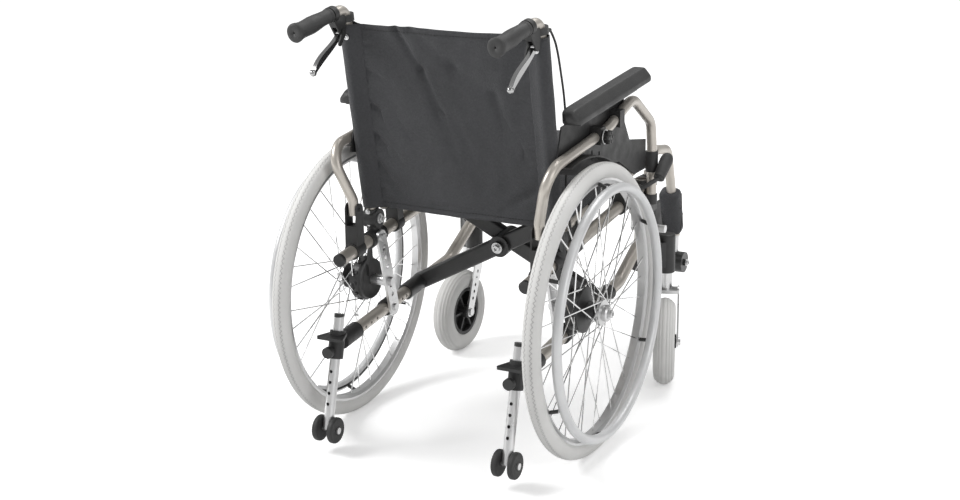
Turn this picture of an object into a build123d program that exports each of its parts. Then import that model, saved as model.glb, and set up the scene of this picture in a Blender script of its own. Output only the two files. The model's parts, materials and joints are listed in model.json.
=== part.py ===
from build123d import *
import os
from math import asin, cos, degrees, hypot, radians, sin, sqrt, tan

# Folding wheelchair with drum-brake wheels. Millimetres, +X to the sitter's right, +Y forward,
# +Z up. While it is modelled, Y is measured from the rear axle and Z from the ground; every piece
# is moved to the middle of the chair's length when it is saved. The right side is modelled and the
# left side is its mirror image.

# --- Driving dimensions ---
# Fits: pieces clamped together, pieces that turn on each other, soft pieces, and free faces.
clamp_gap = 0.05
turn_gap = 0.05
soft_gap = 0.3
free_gap = 0.5

# Side frame of round tube. Its long tubes and the seat rise towards the front.
frame_x = 213
frame_tilt = 6
tube_r = 13.5
post_r = 15
tube_wall = 2
lower_z = 240
upper_z = 413.5
stub_y = -164
lower_back_y = -160
bend_y = 300
bend_angle = 27
bend_r = 60
post_y = 427
post_bottom_z = 290
post_top_z = 478
clamp_wall = 4.5
adjust_hole_ys = (-96, -72, -48, 60, 78)
adjust_hole_r = 3

# Clamps and housings on the side frame.
stub_cap = 8
cane_clamp_ys = (-56, 0)
cane_bush_height = 40
cane_boss_rise = 18
cane_boss_r = 21
cane_boss_reach = 17
axle_collar_ys = (2, 34)
saddle_wall = 3
clevis_half = 15
clevis_eye_r = 13
block_zs = (396, 452)
block_height = 24

# Seat rails and the folding cross brace.
rail_r = 12
rail_z = 472
rail_back_y = 10
rail_front_y = 450
brace_width = 38
brace_thickness = 20
brace_a_run = 165
brace_b_run = 200
brace_boss_r = 24
brace_bolt_r = 6
brace_bolt_head_r = 12
brace_nut_r = 11
brace_head = 6
brace_boss_rise = 8
brace_corner = 6
eye_half = 24
brace_sleeve_a = (95, 175)
brace_sleeve_b = (165, 245)
saddle_ys = (60, 304)
saddle_length = 24
rail_cap = 4

# Back canes, push handles and the back upholstery.
cane_x = 216
cane_r = 11
cane_foot_y = -25
cane_foot_z = 434
cane_top_y = -107
cane_top_z = 908
handle_reach = 181
handle_fall = 23
handle_bend_r = 28
grip_r = 15
grip_length = 122
grip_end_wall = 4
canvas_bottom_rise = 45
canvas_top_drop = 30
canvas_thickness = 4
sleeve_wall = 2.5
back_pad_half_width = 190
back_pad_bottom_z = 548
back_pad_top_z = 736
back_pad_thickness = 42
soft_corner = 14

# Seat upholstery.
sling_thickness = 3
sling_half_width = 222
sling_inset = 8
cushion_half_width = 200
cushion_back_y = 2
cushion_front_y = 432
cushion_thickness = 48

# Rear wheel with a drum hub, and the bar that carries its axle.
axle_z = 305
wheel_x = 282
tyre_r = 18
rim_width = 24
rim_inner_r = 262
handrim_x = 321
handrim_r = 10
handrim_ring_r = 257
standoff_count = 6
standoff_r = 4
standoff_start = 30
axle_r = 6
axle_inner_x = 187
plate_thickness = 6
plate_width = 34
plate_hole_steps = (34, 56, 104, 126, 148)
plate_hole_r = 5
plate_nut_r = 8
plate_nut = 4
axle_nut_r = 10
axle_spacer_r = 12
drum_r = 47
drum_x = 247
drum_width = 20
hub_outer_x = 319
outer_flange_x = 303
outer_flange_r = 27
barrel_r = 17
spokes_per_set = 9
spoke_size = 2
spoke_wrap = 60
backplate_r = 44
backplate_x = 237
backplate_corner = 4
cable_arm = ((-14, 18), (-10, 66))
cable_arm_thickness = 6
rib_count = 12
rib_width = 5
rib_height = 6

# Front casters.
caster_x = 256
caster_y = 478
caster_r = 100
caster_tyre_width = 48
caster_hub_r = 58
caster_trail = 50
caster_swivel_right = 20
caster_swivel_left = -2.3
fork_leg = 4
fork_width = 26
fork_top_y = -8
fork_top_drop = 6
fork_holes = (0.3, 0.45, 0.6, 0.75, 0.9)
fork_hole_r = 4
crown_z = 209
crown_half = 4
crown_ys = (-25, 9)
caster_nut_r = 9
caster_nut = 5
caster_rib_count = 6
stem_r = 8
housing_r = 20
housing_bottom_z = 252
housing_top_z = 342
housing_arm_height = 60

# Armrest: flips up and back on a pin above the upper tube.
arm_pivot_y = -105
arm_pivot_z = 490
arm_r = 11
arm_foot_x = 214
arm_x = 247
arm_front_x = 240
arm_front_y = 418
arm_socket_z = 442
guard_x = 232.5
guard_thickness = 3
arm_pin_r = 4
guard_rear = (-78, 604)
guard_notch = (270, 640)
guard_step = (298, 596)
guard_front_y = 392
guard_front_zs = (512, 578)
guard_lower_edge = ((330, 512), (240, 560), (0, 584))
guard_windows = ((62, 606), (134, 600))
guard_window = 9
guard_slot_at = (98, 603)
guard_slot = (24, 7)
mudguard_ys = (-60, 210)
mudguard_x = 262
mudguard_gap = 7
mudguard_crop = 120
clip_places = ((96, 645.5), (196, 662))
clip_half = 12
clip_below = 15
clip_above = 20
clip_reach = 14
knob_at = (96, 646)
knob_neck_r = 6
knob_neck = 4
knob_r = 12
knob_depth = 9
latch_zs = (500, 546)
latch_wall = 3
pad_back_y = -57
pad_front_y = 322
pad_inner_x = 233
pad_width = 44
pad_height = 31
pad_bottom_z = 696
pad_rise = 4
pad_side_share = 0.4
pad_bevel = 16
pad_edge = 5
pad_end = 10

# Wheel lock.
lock_y = 350
lock_z = 458
lock_shoe_y = 316
lock_shoe_z = 456
lock_pin_y = 312
lock_pin_z = 402
lock_pin_r = 8.5
lock_pin_end_x = 316
lock_grip_x = 268
lock_grip_r = 12.5
lock_base_ys = (320, 372)
lock_base_y = 340
lock_base = 5.5
lock_plate = 6
lock_arm = 14
lock_bend = (372, 479)
lock_grip_ends = ((392, 493), (448, 532))
lock_rod_r = 5
lock_axle_r = 4
lock_axle_end_x = 243
lock_shoe_axle_end_x = 250
shoe_thickness = 5

# Swing-away legrest and footplate. The footplate is folded up.
hanger_y = 478
hanger_r = 11
hanger_foot_z = 392
hanger_top_z = 532
hanger_knee = (586, 512)
hanger_bends = [32, 38]
hanger_collar = 4
calf_share = 0.46
calf_length = 132
calf_width = 54
calf_depth = 46
calf_corner = 16
calf_inset = 4
hub_x = 197
hub_y = 690
hub_z = 210
hub_r = 25
hub_width = 50
hub_cap = 4
hub_cap_r = 8
extension_r = 8.5
extension_length = 66
tongue_half = 14
tongue_r = 9
foot_pin_x = 163
foot_pin_z = 203
foot_pin_r = 4
foot_y = 640
foot_length = 127
foot_depth = 140
foot_thickness = 12
foot_corner = 18
foot_lift = 12
leaf_height = 22
knuckle_r = 8
knuckle_length = 30

# Attendant's brake lever on the push handle.
lever_back = 24
lever_drop = 46
lever_reach = 103
lever_fall = 65
lever_width = 9
lever_eye_r = 8
lever_tip_r = 6
lever_pin_r = 3
cheek_eye_r = 9
cheek = 3
lever_collar_r = 16
lever_collar_width = 16
cable_r = 2.25
cable_x = 228.6
ferrule_r = 4

# Anti-tip tube and its small wheels.
tip_x = 208
tip_r = 11
tip_top_y = -185
tip_top_z = 283
tip_axle_y = -246
tip_axle_z = 52
tip_wheel_r = 27.5
tip_wheel_width = 13
tip_sleeve_z = (196, 252)
tip_sleeve_wall = 5.5
tip_cut_zs = (100, 400)
tip_collar = 14
tip_collar_front_y = -114
tip_step = 6
tip_step_half = 26
tip_knob_z = 216
tip_knob_neck = 26
tip_knob_depth = 10
tip_hole_zs = (106, 128, 150, 172)
tip_hole_r = 3.5
tip_cap = 3
tip_pin_r = 4
tip_washer = 3
tip_washer_r = 7

# --- Values worked out from them ---
slope = tan(radians(frame_tilt))
tyre_ring_r = axle_z - tyre_r
rim_outer_r = tyre_ring_r - sqrt(tyre_r**2 - (rim_width / 2) ** 2)
rail_rise = (rail_z - lower_z) * cos(radians(frame_tilt))
brace_length = hypot(2 * frame_x, rail_rise)
brace_angle = degrees(asin(rail_rise / brace_length))
handle_end_y = cane_top_y - handle_reach
handle_end_z = cane_top_z - handle_fall
front_y = foot_y + foot_length
lever_y = cane_top_y - lever_back
lever_z = cane_top_z - lever_drop
lever_tip_y = lever_y - lever_reach
lever_tip_z = lever_z - lever_fall
canvas_bottom_z = cane_foot_z + canvas_bottom_rise
canvas_top_z = cane_top_z - canvas_top_drop
rear_y = -axle_z
middle = Location((0, -(front_y + rear_y) / 2, 0))
axle = Axis((0, 0, axle_z), (1, 0, 0))
along_frame = Vector(0, cos(radians(frame_tilt)), sin(radians(frame_tilt)))
up_frame = Vector(0, -sin(radians(frame_tilt)), cos(radians(frame_tilt)))


def rising(height, y):
    """Height at y of a line that passes the axle at a height and rises with the frame."""
    return height + y * slope


def on_tube(height, y, x=frame_x):
    """Point on one of the long tubes of the side frame."""
    return Vector(x, y, rising(height, y))


def side(x):
    """Side-view plane at x, with sketch coordinates (y, z)."""
    return Plane.YZ.offset(x)


def rod(start, end, radius, mode=Mode.ADD):
    """Straight round bar, pin, ring or bore between two points."""
    run = Vector(*end) - Vector(*start)
    with BuildSketch(Plane(origin=start, z_dir=run)) as section:
        Circle(radius)
    extrude(section.sketch, amount=run.length, mode=mode)


def bar(points, bends, radius, mode=Mode.ADD):
    """Bent round bar: straight runs joined by bends."""
    with BuildLine() as route:
        FilletPolyline(*points, radius=bends)
    with BuildSketch(Plane(origin=route.line @ 0, z_dir=route.line % 0)) as section:
        Circle(radius)
    sweep(section.sketch, path=route.line, mode=mode)


def strap(plane, ends, radii, thickness, mode=Mode.ADD):
    """Plate whose outline is the hull of circles."""
    with BuildSketch(plane) as outline:
        for place, radius in zip(ends, radii):
            with Locations(place):
                Circle(radius)
        make_hull()
    extrude(outline.sketch, amount=thickness, mode=mode)


def block(xs, ys, zs, mode=Mode.ADD):
    """Box between pairs of coordinates."""
    with Locations(((xs[0] + xs[1]) / 2, (ys[0] + ys[1]) / 2, (zs[0] + zs[1]) / 2)):
        Box(xs[1] - xs[0], ys[1] - ys[0], zs[1] - zs[0], mode=mode)


def cord_bends(points):
    """Largest even bend at each corner of a cord's route."""
    route = [Vector(*point) for point in points]
    bends = []
    for before, corner, after in zip(route, route[1:], route[2:]):
        turn = radians((corner - before).get_angle(after - corner))
        shorter = min((corner - before).length, (after - corner).length)
        bends.append(0.45 * shorter / tan(turn / 2))
    return bends


def save(part, name):
    """Move a piece from the axle's frame to the chair's and write it."""
    piece = part.moved(middle)
    piece.label = name
    export_step(piece, f"parts/{name}.step")


def save_pair(part, name):
    """Write a piece of the right side and its mirror image on the left."""
    save(part, f"right_{name}")
    save(mirror(part, about=Plane.YZ), f"left_{name}")


os.makedirs("parts", exist_ok=True)

# --- Side frame ---
bend_end_z = rising(lower_z, bend_y) + (post_y - bend_y) * tan(radians(bend_angle))
lower_route = [
    on_tube(lower_z, lower_back_y),
    on_tube(lower_z, bend_y),
    Vector(frame_x, post_y, bend_end_z),
]
upper_ends = (on_tube(upper_z, stub_y), on_tube(upper_z, post_y))
post_ends = (Vector(frame_x, post_y, post_bottom_z), Vector(frame_x, post_y, post_top_z))


def long_tubes(radius, mode):
    """The side frame's lower and upper tubes at one radius."""
    bar(lower_route, [bend_r], radius, mode)
    rod(*upper_ends, radius, mode)


with BuildPart() as side_frame:
    long_tubes(tube_r, Mode.ADD)
    long_tubes(tube_r - tube_wall, Mode.SUBTRACT)
    rod(*post_ends, post_r)
    rod(*post_ends, post_r - tube_wall, Mode.SUBTRACT)
    # Adjusting holes at the rear of the lower tube and near its front bend.
    for hole_y in adjust_hole_ys:
        hole = on_tube(lower_z, hole_y)
        rod(hole, hole + Vector(-2 * tube_r, 0, 0), adjust_hole_r, Mode.SUBTRACT)
save_pair(side_frame.part, "side_frame")

# --- Back cane: up from its clamp, reclined, then back to form the push handle ---
cane_foot = Vector(cane_x, cane_foot_y, cane_foot_z)
cane_top = Vector(cane_x, cane_top_y, cane_top_z)
handle_end = Vector(cane_x, handle_end_y, handle_end_z)
recline = (cane_top - cane_foot).normalized()
handle_run = (handle_end - cane_top).normalized()
cane_route = [cane_foot, cane_top, handle_end]


def on_cane(z, x=cane_x):
    """Point on the straight part of the cane at a height."""
    return Vector(x, cane_foot_y + (z - cane_foot_z) * recline.Y / recline.Z, z)


with BuildPart() as back_cane:
    bar(cane_route, [handle_bend_r], cane_r)
    bar(cane_route, [handle_bend_r], cane_r - tube_wall, Mode.SUBTRACT)
save_pair(back_cane.part, "back_cane")

# --- Push grip: moulded sleeve with a collar, a waist and a round end ---
grip_front = handle_end - handle_run * grip_length
grip_plane = Plane(origin=grip_front, x_dir=handle_run, z_dir=(1, 0, 0))
with BuildPart() as push_grip:
    with BuildSketch(grip_plane) as grip_profile:
        with BuildLine():
            collar = Polyline(
                (grip_length + grip_end_wall, 0),
                (0, 0),
                (0, grip_r),
                (5, grip_r),
                (9, grip_r - 1.5),
            )
            waist = ThreePointArc(
                collar @ 1, (grip_length / 2, grip_r - 0.5), (grip_length - 12, grip_r - 1.5)
            )
            Polyline(
                waist @ 1,
                (grip_length - 8, grip_r),
                (grip_length + grip_end_wall - 5, grip_r),
                (grip_length + grip_end_wall, grip_r - 5),
                collar @ 0,
            )
        make_face()
    revolve(axis=Axis(grip_front, handle_run))
    rod(grip_front, handle_end, cane_r + clamp_gap, Mode.SUBTRACT)
save_pair(push_grip.part, "push_grip")

# --- Black clamps, sockets, saddles and hinge blocks of the side frame ---
clamp_r = tube_r + clamp_wall
bush_r = cane_r + clamp_wall
plate_x = frame_x - tube_r - plate_thickness - clamp_gap
plate_low = (16, rising(lower_z, 16))
plate_high = (-29, rising(upper_z, -29))
clevis_gap = arm_r + free_gap
sleeve_axis = (Vector(0, tip_top_y - tip_axle_y, tip_top_z - tip_axle_z)).normalized()


def on_tip(z):
    """Point on the anti-tip tube's axis at a height."""
    top = Vector(tip_x, tip_top_y, tip_top_z)
    return top + sleeve_axis * ((z - tip_top_z) / sleeve_axis.Z)


def tube_collar(height, back, front, radius):
    """Solid collar about a long tube, bored later with the frame."""
    rod(on_tube(height, back), on_tube(height, front), radius)


with BuildPart() as frame_fittings:
    # Cap of the upper tube's rear stub.
    tube_collar(upper_z, stub_y - stub_cap, stub_y, tube_r)
    # Clamp that holds the cane's foot, with its round locking housing.
    tube_collar(upper_z, *cane_clamp_ys, clamp_r)
    rod(on_cane(upper_z), on_cane(cane_foot_z + cane_bush_height), bush_r)
    boss = on_cane(cane_foot_z + cane_boss_rise)
    rod(boss - Vector(cane_boss_reach, 0, 0), boss + Vector(cane_boss_reach - 2.5, 0, 0),
        cane_boss_r)
    # Collar that ties the axle bar to the lower tube.
    tube_collar(lower_z, *axle_collar_ys, clamp_r)
    # Saddles that the seat rails drop into.
    for saddle_y in saddle_ys:
        back = saddle_y - saddle_length / 2
        tube_collar(upper_z, back, back + saddle_length, clamp_r)
        saddle_plane = Plane(origin=on_tube(upper_z, back), x_dir=(1, 0, 0), z_dir=along_frame)
        with BuildSketch(saddle_plane) as saddle:
            with Locations((0, -(rail_z - upper_z) / 2)):
                Rectangle(2 * (rail_r + saddle_wall), rail_z - upper_z)
        extrude(saddle.sketch, amount=saddle_length)
    # Clevis of the armrest.
    tube_collar(upper_z, arm_pivot_y - clevis_half, arm_pivot_y + clevis_half, clamp_r)
    strap(
        side(arm_foot_x - clevis_gap - cheek),
        [(arm_pivot_y, arm_pivot_z), (arm_pivot_y, rising(upper_z, arm_pivot_y))],
        [clevis_eye_r, clevis_half],
        2 * (clevis_gap + cheek),
    )
    block(
        (arm_foot_x - clevis_gap, arm_foot_x + clevis_gap),
        (arm_pivot_y - 40, arm_pivot_y + 40),
        (arm_pivot_z - 34, arm_pivot_z + 30),
        Mode.SUBTRACT,
    )
    # Socket for the armrest's front leg, on the front post.
    socket = Vector(arm_front_x, arm_front_y, 0)
    strap(
        Plane.XY.offset(arm_socket_z - 16),
        [(frame_x, post_y), (arm_front_x, arm_front_y)],
        [post_r + clamp_wall, arm_r + 2.5],
        22,
    )
    # Hinge blocks of the legrest, on the front post.
    for block_z in block_zs:
        strap(
            Plane.XY.offset(block_z),
            [(frame_x, post_y), (frame_x, hanger_y)],
            [post_r + clamp_wall, hanger_r + clamp_wall],
            block_height,
        )
    # Base of the wheel lock, with its two pins.
    tube_collar(upper_z, *lock_base_ys, clamp_r)
    strap(
        side(frame_x + tube_r),
        [(lock_y, lock_z), (lock_shoe_y, lock_shoe_z),
         (lock_base_y, rising(upper_z, lock_base_y))],
        [12, 12, 14],
        lock_base,
    )
    rod((frame_x + tube_r, lock_y, lock_z), (lock_axle_end_x, lock_y, lock_z), lock_axle_r)
    rod((frame_x + tube_r, lock_shoe_y, lock_shoe_z),
        (lock_shoe_axle_end_x, lock_shoe_y, lock_shoe_z), lock_axle_r)
    # Housing of the anti-tip tube on the lower tube's rear end, with its foot step and knob.
    tube_collar(lower_z, lower_back_y - tip_collar, tip_collar_front_y, clamp_r)
    rod(on_tip(tip_sleeve_z[0]), on_tip(tip_sleeve_z[1]), tip_r + tip_sleeve_wall)
    strap(
        Plane.XY.offset(tip_sleeve_z[1] - 2 * tip_step),
        [
            (tip_x, tip_top_y - 5),
            (tip_x - tip_step_half, tip_top_y - 39),
            (tip_x + tip_step_half, tip_top_y - 39),
        ],
        [17, 5, 5],
        tip_step,
    )
    tip_knob = on_tip(tip_knob_z)
    tip_knob_back = tip_knob - Vector(0, tip_knob_neck, 0)
    rod(tip_knob, tip_knob_back, knob_neck_r)
    rod(tip_knob_back, tip_knob_back - Vector(0, tip_knob_depth, 0), knob_r)
    # Clamp and cheeks of the attendant's brake lever.
    rod(on_cane(canvas_top_z + 4), on_cane(canvas_top_z + 18), lever_collar_r)
    rod(grip_front - handle_run, grip_front - handle_run * lever_collar_width, lever_collar_r)
    cheek_x = lever_width / 2 + free_gap
    strap(
        side(cane_x - cheek_x - cheek),
        [
            (lever_y, lever_z),
            (on_cane(canvas_top_z + 14).Y - 20, canvas_top_z + 16),
            ((grip_front - handle_run * 12).Y, canvas_top_z + 15),
        ],
        [cheek_eye_r, 8, 8],
        2 * (cheek_x + cheek),
    )
    block(
        (cane_x - cheek_x, cane_x + cheek_x),
        (lever_y - 30, lever_y + 30),
        (lever_z - 30, lever_z + 12),
        Mode.SUBTRACT,
    )
    rod(
        (cane_x - cheek_x - cheek - 5, lever_y, lever_z),
        (cane_x + cheek_x + cheek, lever_y, lever_z),
        lever_pin_r,
    )
    # Ferrule of the brake cable, in front of the cane.
    ferrule_x = cable_x - ferrule_r
    rod((ferrule_x, cane_top_y + 7, cane_top_z - 18), (ferrule_x, cane_top_y + 27, cane_top_z - 22),
        ferrule_r)
    # Seat of the axle bar, and bores for everything else that the fittings hold.
    strap(
        side(axle_inner_x),
        [plate_low, plate_high],
        [plate_width / 2 + clamp_gap] * 2,
        plate_x + plate_thickness + clamp_gap - axle_inner_x,
        Mode.SUBTRACT,
    )
    long_tubes(tube_r + clamp_gap, Mode.SUBTRACT)
    rod(*post_ends, post_r + clamp_gap, Mode.SUBTRACT)
    bar(cane_route, [handle_bend_r], cane_r + clamp_gap, Mode.SUBTRACT)
    rod(socket + Vector(0, 0, arm_socket_z - 12), socket + Vector(0, 0, arm_socket_z + 60),
        arm_r + soft_gap, Mode.SUBTRACT)
    rod((frame_x, hanger_y, hanger_foot_z - 10), (frame_x, hanger_y, post_top_z + 20),
        hanger_r + turn_gap, Mode.SUBTRACT)
    rod(on_tip(tip_cut_zs[0]), on_tip(tip_cut_zs[1]), tip_r + turn_gap, Mode.SUBTRACT)
    for reach in (0, rail_r):
        rail_back = on_tube(rail_z + reach, rail_back_y)
        rail_front = on_tube(rail_z + reach, rail_front_y)
        rod(rail_back, rail_front, rail_r + soft_gap, Mode.SUBTRACT)
    # The armrest's pin, after its clevis is cut.
    pin_reach = clevis_gap + cheek + 2
    rod(
        (arm_foot_x - pin_reach, arm_pivot_y, arm_pivot_z),
        (arm_foot_x + pin_reach, arm_pivot_y, arm_pivot_z),
        arm_pin_r,
    )
save_pair(frame_fittings.part, "frame_fittings")

# --- Axle bar: drilled plate between the two long tubes, with the axle, its nut and bolts ---
plate_run = (Vector(*plate_high) - Vector(*plate_low)).normalized()
with BuildPart() as axle_plate:
    strap(side(plate_x), [plate_low, plate_high], [plate_width / 2] * 2, plate_thickness)
    for step in plate_hole_steps:
        with BuildSketch(side(plate_x)):
            with Locations(Vector(*plate_low) + plate_run * step):
                Circle(plate_hole_r)
        extrude(amount=plate_thickness, mode=Mode.SUBTRACT)
    rod((axle_inner_x, 0, axle_z), (hub_outer_x - 6, 0, axle_z), axle_r)
    rod((axle_inner_x, 0, axle_z), (plate_x, 0, axle_z), axle_nut_r)
    rod((plate_x + plate_thickness, 0, axle_z), (backplate_x, 0, axle_z), axle_spacer_r)
    for end in (plate_low, plate_high):
        rod((plate_x - plate_nut, *end), (plate_x, *end), plate_nut_r)
save_pair(axle_plate.part, "axle_plate")

# --- Caster housing: upright bearing tube on an arm from the front post ---
with BuildPart() as caster_housing:
    strap(
        Plane.XY.offset(housing_bottom_z + 14),
        [(frame_x, post_y), (caster_x, caster_y)],
        [post_r + clamp_wall, housing_r - 3],
        housing_arm_height,
    )
    rod((caster_x, caster_y, housing_bottom_z), (caster_x, caster_y, housing_top_z), housing_r)
    fillet(caster_housing.edges().filter_by(GeomType.CIRCLE).group_by(Axis.Z)[-1], 5)
    rod((caster_x, caster_y, 0), (caster_x, caster_y, housing_top_z - 10), stem_r + turn_gap,
        Mode.SUBTRACT)
    long_tubes(tube_r + clamp_gap, Mode.SUBTRACT)
    rod(*post_ends, post_r + clamp_gap, Mode.SUBTRACT)
save_pair(caster_housing.part, "caster_housing")

# --- Brake backplate with its cable arm; it stays still while the drum turns ---
backplate_width = drum_x - free_gap - backplate_x
with BuildPart() as brake_drum:
    rod((backplate_x, 0, axle_z), (backplate_x + backplate_width, 0, axle_z), backplate_r)
    fillet(brake_drum.edges().sort_by(Axis.X)[0], backplate_corner)
    strap(
        side(backplate_x - cable_arm_thickness / 2),
        [(arm_y, axle_z + arm_z) for arm_y, arm_z in cable_arm],
        [9, 6],
        cable_arm_thickness,
    )
    rod((backplate_x, 0, axle_z), (backplate_x + backplate_width, 0, axle_z), axle_r + clamp_gap,
        Mode.SUBTRACT)
save_pair(brake_drum.part, "brake_drum")

# --- Brake cable, from the lever's cheek to the cable arm of the backplate ---
cable_route = [
    (cable_x - 4, -78.6, 885.4),
    (cable_x - 3, -62, 868),
    (cable_x, -52, 838),
    (cable_x, -38, 796),
    (cable_x, -24, 752),
    (cable_x, -16, 704),
    (cable_x, -12, 652),
    (cable_x, -14, 598),
    (cable_x + 2, -18, 546),
    (cable_x + 9, -16, 494),
    (cable_x + 12, -9, 446),
    (backplate_x + 3, -8, 408),
    (backplate_x, -10, axle_z + 72 + soft_gap),
]
cable_bends = cord_bends(cable_route)
with BuildPart() as brake_cable:
    bar(cable_route, cable_bends, cable_r)
save_pair(brake_cable.part, "brake_cable")

# --- Back upholstery: canvas sleeved on the canes, and the pad in front of it ---
with BuildPart() as back_upholstery:
    canvas_low = on_cane(canvas_bottom_z, 0)
    canvas_plane = Plane(origin=canvas_low, x_dir=(1, 0, 0), z_dir=recline)
    with BuildSketch(canvas_plane) as canvas:
        Rectangle(2 * cane_x, canvas_thickness)
        with Locations((-cane_x, 0), (cane_x, 0)):
            Circle(cane_r + soft_gap + sleeve_wall)
        with Locations((-cane_x, 0), (cane_x, 0)):
            Circle(cane_r + soft_gap, mode=Mode.SUBTRACT)
    extrude(amount=(canvas_top_z - canvas_bottom_z) / recline.Z)
    pad_low = on_cane(back_pad_bottom_z, 0)
    pad_plane = Plane(origin=pad_low, x_dir=(1, 0, 0), z_dir=recline)
    with BuildSketch(pad_plane) as back_pad:
        with Locations((0, (canvas_thickness + back_pad_thickness) / 2 + soft_gap)):
            RectangleRounded(2 * back_pad_half_width, back_pad_thickness, soft_corner)
    extrude(amount=(back_pad_top_z - back_pad_bottom_z) / recline.Z)
save(back_upholstery.part, "back_upholstery")

# --- Seat upholstery: sling over the rails, with a cushion ---
def seat_plane(y):
    """Plane across the rails at y, with sketch coordinates (x, height over the rails' axis)."""
    return Plane(origin=on_tube(rail_z, y, 0), x_dir=(1, 0, 0), z_dir=-along_frame)


with BuildPart() as seat_upholstery:
    sling_bottom = rail_r + soft_gap
    with BuildSketch(seat_plane(rail_front_y - sling_inset)) as sling:
        with Locations((0, sling_bottom + sling_thickness / 2)):
            Rectangle(2 * sling_half_width, sling_thickness)
    extrude(amount=rail_front_y - rail_back_y - 2 * sling_inset)
    cushion_bottom = sling_bottom + sling_thickness + soft_gap
    with BuildSketch(seat_plane(cushion_front_y)) as cushion:
        with Locations((0, cushion_bottom + cushion_thickness / 2)):
            RectangleRounded(2 * cushion_half_width, cushion_thickness, soft_corner)
    extrude(amount=cushion_front_y - cushion_back_y)
save(seat_upholstery.part, "seat_upholstery")

# --- Seat rails ---
with BuildPart() as seat_rail:
    rod(on_tube(rail_z, rail_back_y), on_tube(rail_z, rail_front_y), rail_r)
    rod(on_tube(rail_z, rail_back_y), on_tube(rail_z, rail_front_y), rail_r - tube_wall,
        Mode.SUBTRACT)
    for back, front in (
        (rail_back_y, rail_back_y + rail_cap),
        (rail_front_y - rail_cap, rail_front_y),
    ):
        rod(on_tube(rail_z, back), on_tube(rail_z, front), rail_r)
save_pair(seat_rail.part, "seat_rail")


# --- Folding cross brace: two arms, pinned in the middle ---
def brace_point(x, height, run):
    """Point over the lower tubes, square to them, at a run along them from the axle."""
    return on_tube(lower_z, 0, x) + up_frame * height + along_frame * run


def brace_arm(hand, arm_run, boss, sleeve):
    """Arm from the lower tube on one side (hand 1 right, -1 left) to the other side's rail."""
    foot_x = hand * frame_x
    arm_back = arm_run - brace_thickness / 2
    foot_ends = [brace_point(foot_x, 0, run) for run in sleeve]
    pivot_ends = [brace_point(0, rail_rise / 2, run) for run in boss]
    eye_ends = [brace_point(-foot_x, rail_rise, arm_run + reach) for reach in (-eye_half, eye_half)]
    arm_plane = Plane(
        origin=brace_point(0, 0, arm_back + brace_thickness), x_dir=(1, 0, 0), z_dir=-along_frame
    )
    with BuildPart() as arm:
        with BuildSketch(arm_plane) as outline:
            with Locations((0, rail_rise / 2)):
                SlotCenterToCenter(brace_length, brace_width, rotation=-hand * brace_angle)
        extrude(outline.sketch, amount=brace_thickness)
        fillet(arm.edges(), brace_corner)
        rod(*pivot_ends, brace_boss_r)
        rod(*foot_ends, clamp_r)
        rod(*eye_ends, rail_r + clamp_wall)
        # The eye is flat on top, under the sling.
        with BuildSketch(Plane(origin=eye_ends[1], x_dir=(1, 0, 0), z_dir=-along_frame)) as flat:
            with Locations((0, 2 * rail_r)):
                Rectangle(4 * rail_r, 2 * rail_r)
        extrude(flat.sketch, amount=2 * eye_half, mode=Mode.SUBTRACT)
        rod(*foot_ends, tube_r + turn_gap, Mode.SUBTRACT)
        rod(*eye_ends, rail_r + clamp_gap, Mode.SUBTRACT)
        rod(*pivot_ends, brace_bolt_r + turn_gap, Mode.SUBTRACT)
    return arm.part


brace_middle = (brace_a_run + brace_b_run) / 2
brace_back = brace_a_run - brace_thickness / 2 - brace_boss_rise
brace_front = brace_b_run + brace_thickness / 2 + brace_boss_rise
brace_a = brace_arm(-1, brace_a_run, (brace_back, brace_middle - turn_gap), brace_sleeve_a)
save(brace_a, "brace_a")

brace_b_arm = brace_arm(1, brace_b_run, (brace_middle + turn_gap, brace_front), brace_sleeve_b)
with BuildPart() as brace_b:
    add(brace_b_arm)
    # Pivot bolt with its head and nut.
    for back, front, radius in (
        (brace_back - brace_head + 1, brace_front + brace_head, brace_bolt_r),
        (brace_back - brace_head, brace_back - turn_gap, brace_bolt_head_r),
        (brace_front + clamp_gap, brace_front + brace_head + 2, brace_nut_r),
    ):
        rod(brace_point(0, rail_rise / 2, back), brace_point(0, rail_rise / 2, front), radius)
save(brace_b.part, "brace_b")

# --- Armrest: bent tube, pad and side guard ---
arm_route = [
    (arm_foot_x, arm_pivot_y, arm_pivot_z - 12),
    (arm_foot_x, arm_pivot_y - 2, arm_pivot_z + 20),
    (arm_x, -142, 622),
    (arm_x, 150, 651),
    (arm_x, 284, 690),
    (arm_front_x + 2, 404, 614),
    (arm_front_x, arm_front_y, 552),
    (arm_front_x, arm_front_y, arm_socket_z - 4),
]
arm_bends = [30, 46, 120, 60, 46, 60]
with BuildPart() as arm_tube:
    bar(arm_route, arm_bends, arm_r)
    rod(
        (arm_foot_x - 2 * arm_r, arm_pivot_y, arm_pivot_z),
        (arm_foot_x + 2 * arm_r, arm_pivot_y, arm_pivot_z),
        arm_pin_r + turn_gap,
        Mode.SUBTRACT,
    )
save_pair(arm_tube.part, "arm_tube")

pad_slope = tan(radians(pad_rise))


def pad_plane_at(y):
    """Plane across the arm pad at y, with sketch coordinates (x, height over its underside)."""
    return Plane(
        origin=(0, y, pad_bottom_z + (y - pad_back_y) * pad_slope),
        x_dir=(1, 0, 0),
        z_dir=(0, -cos(radians(pad_rise)), -sin(radians(pad_rise))),
    )


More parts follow.
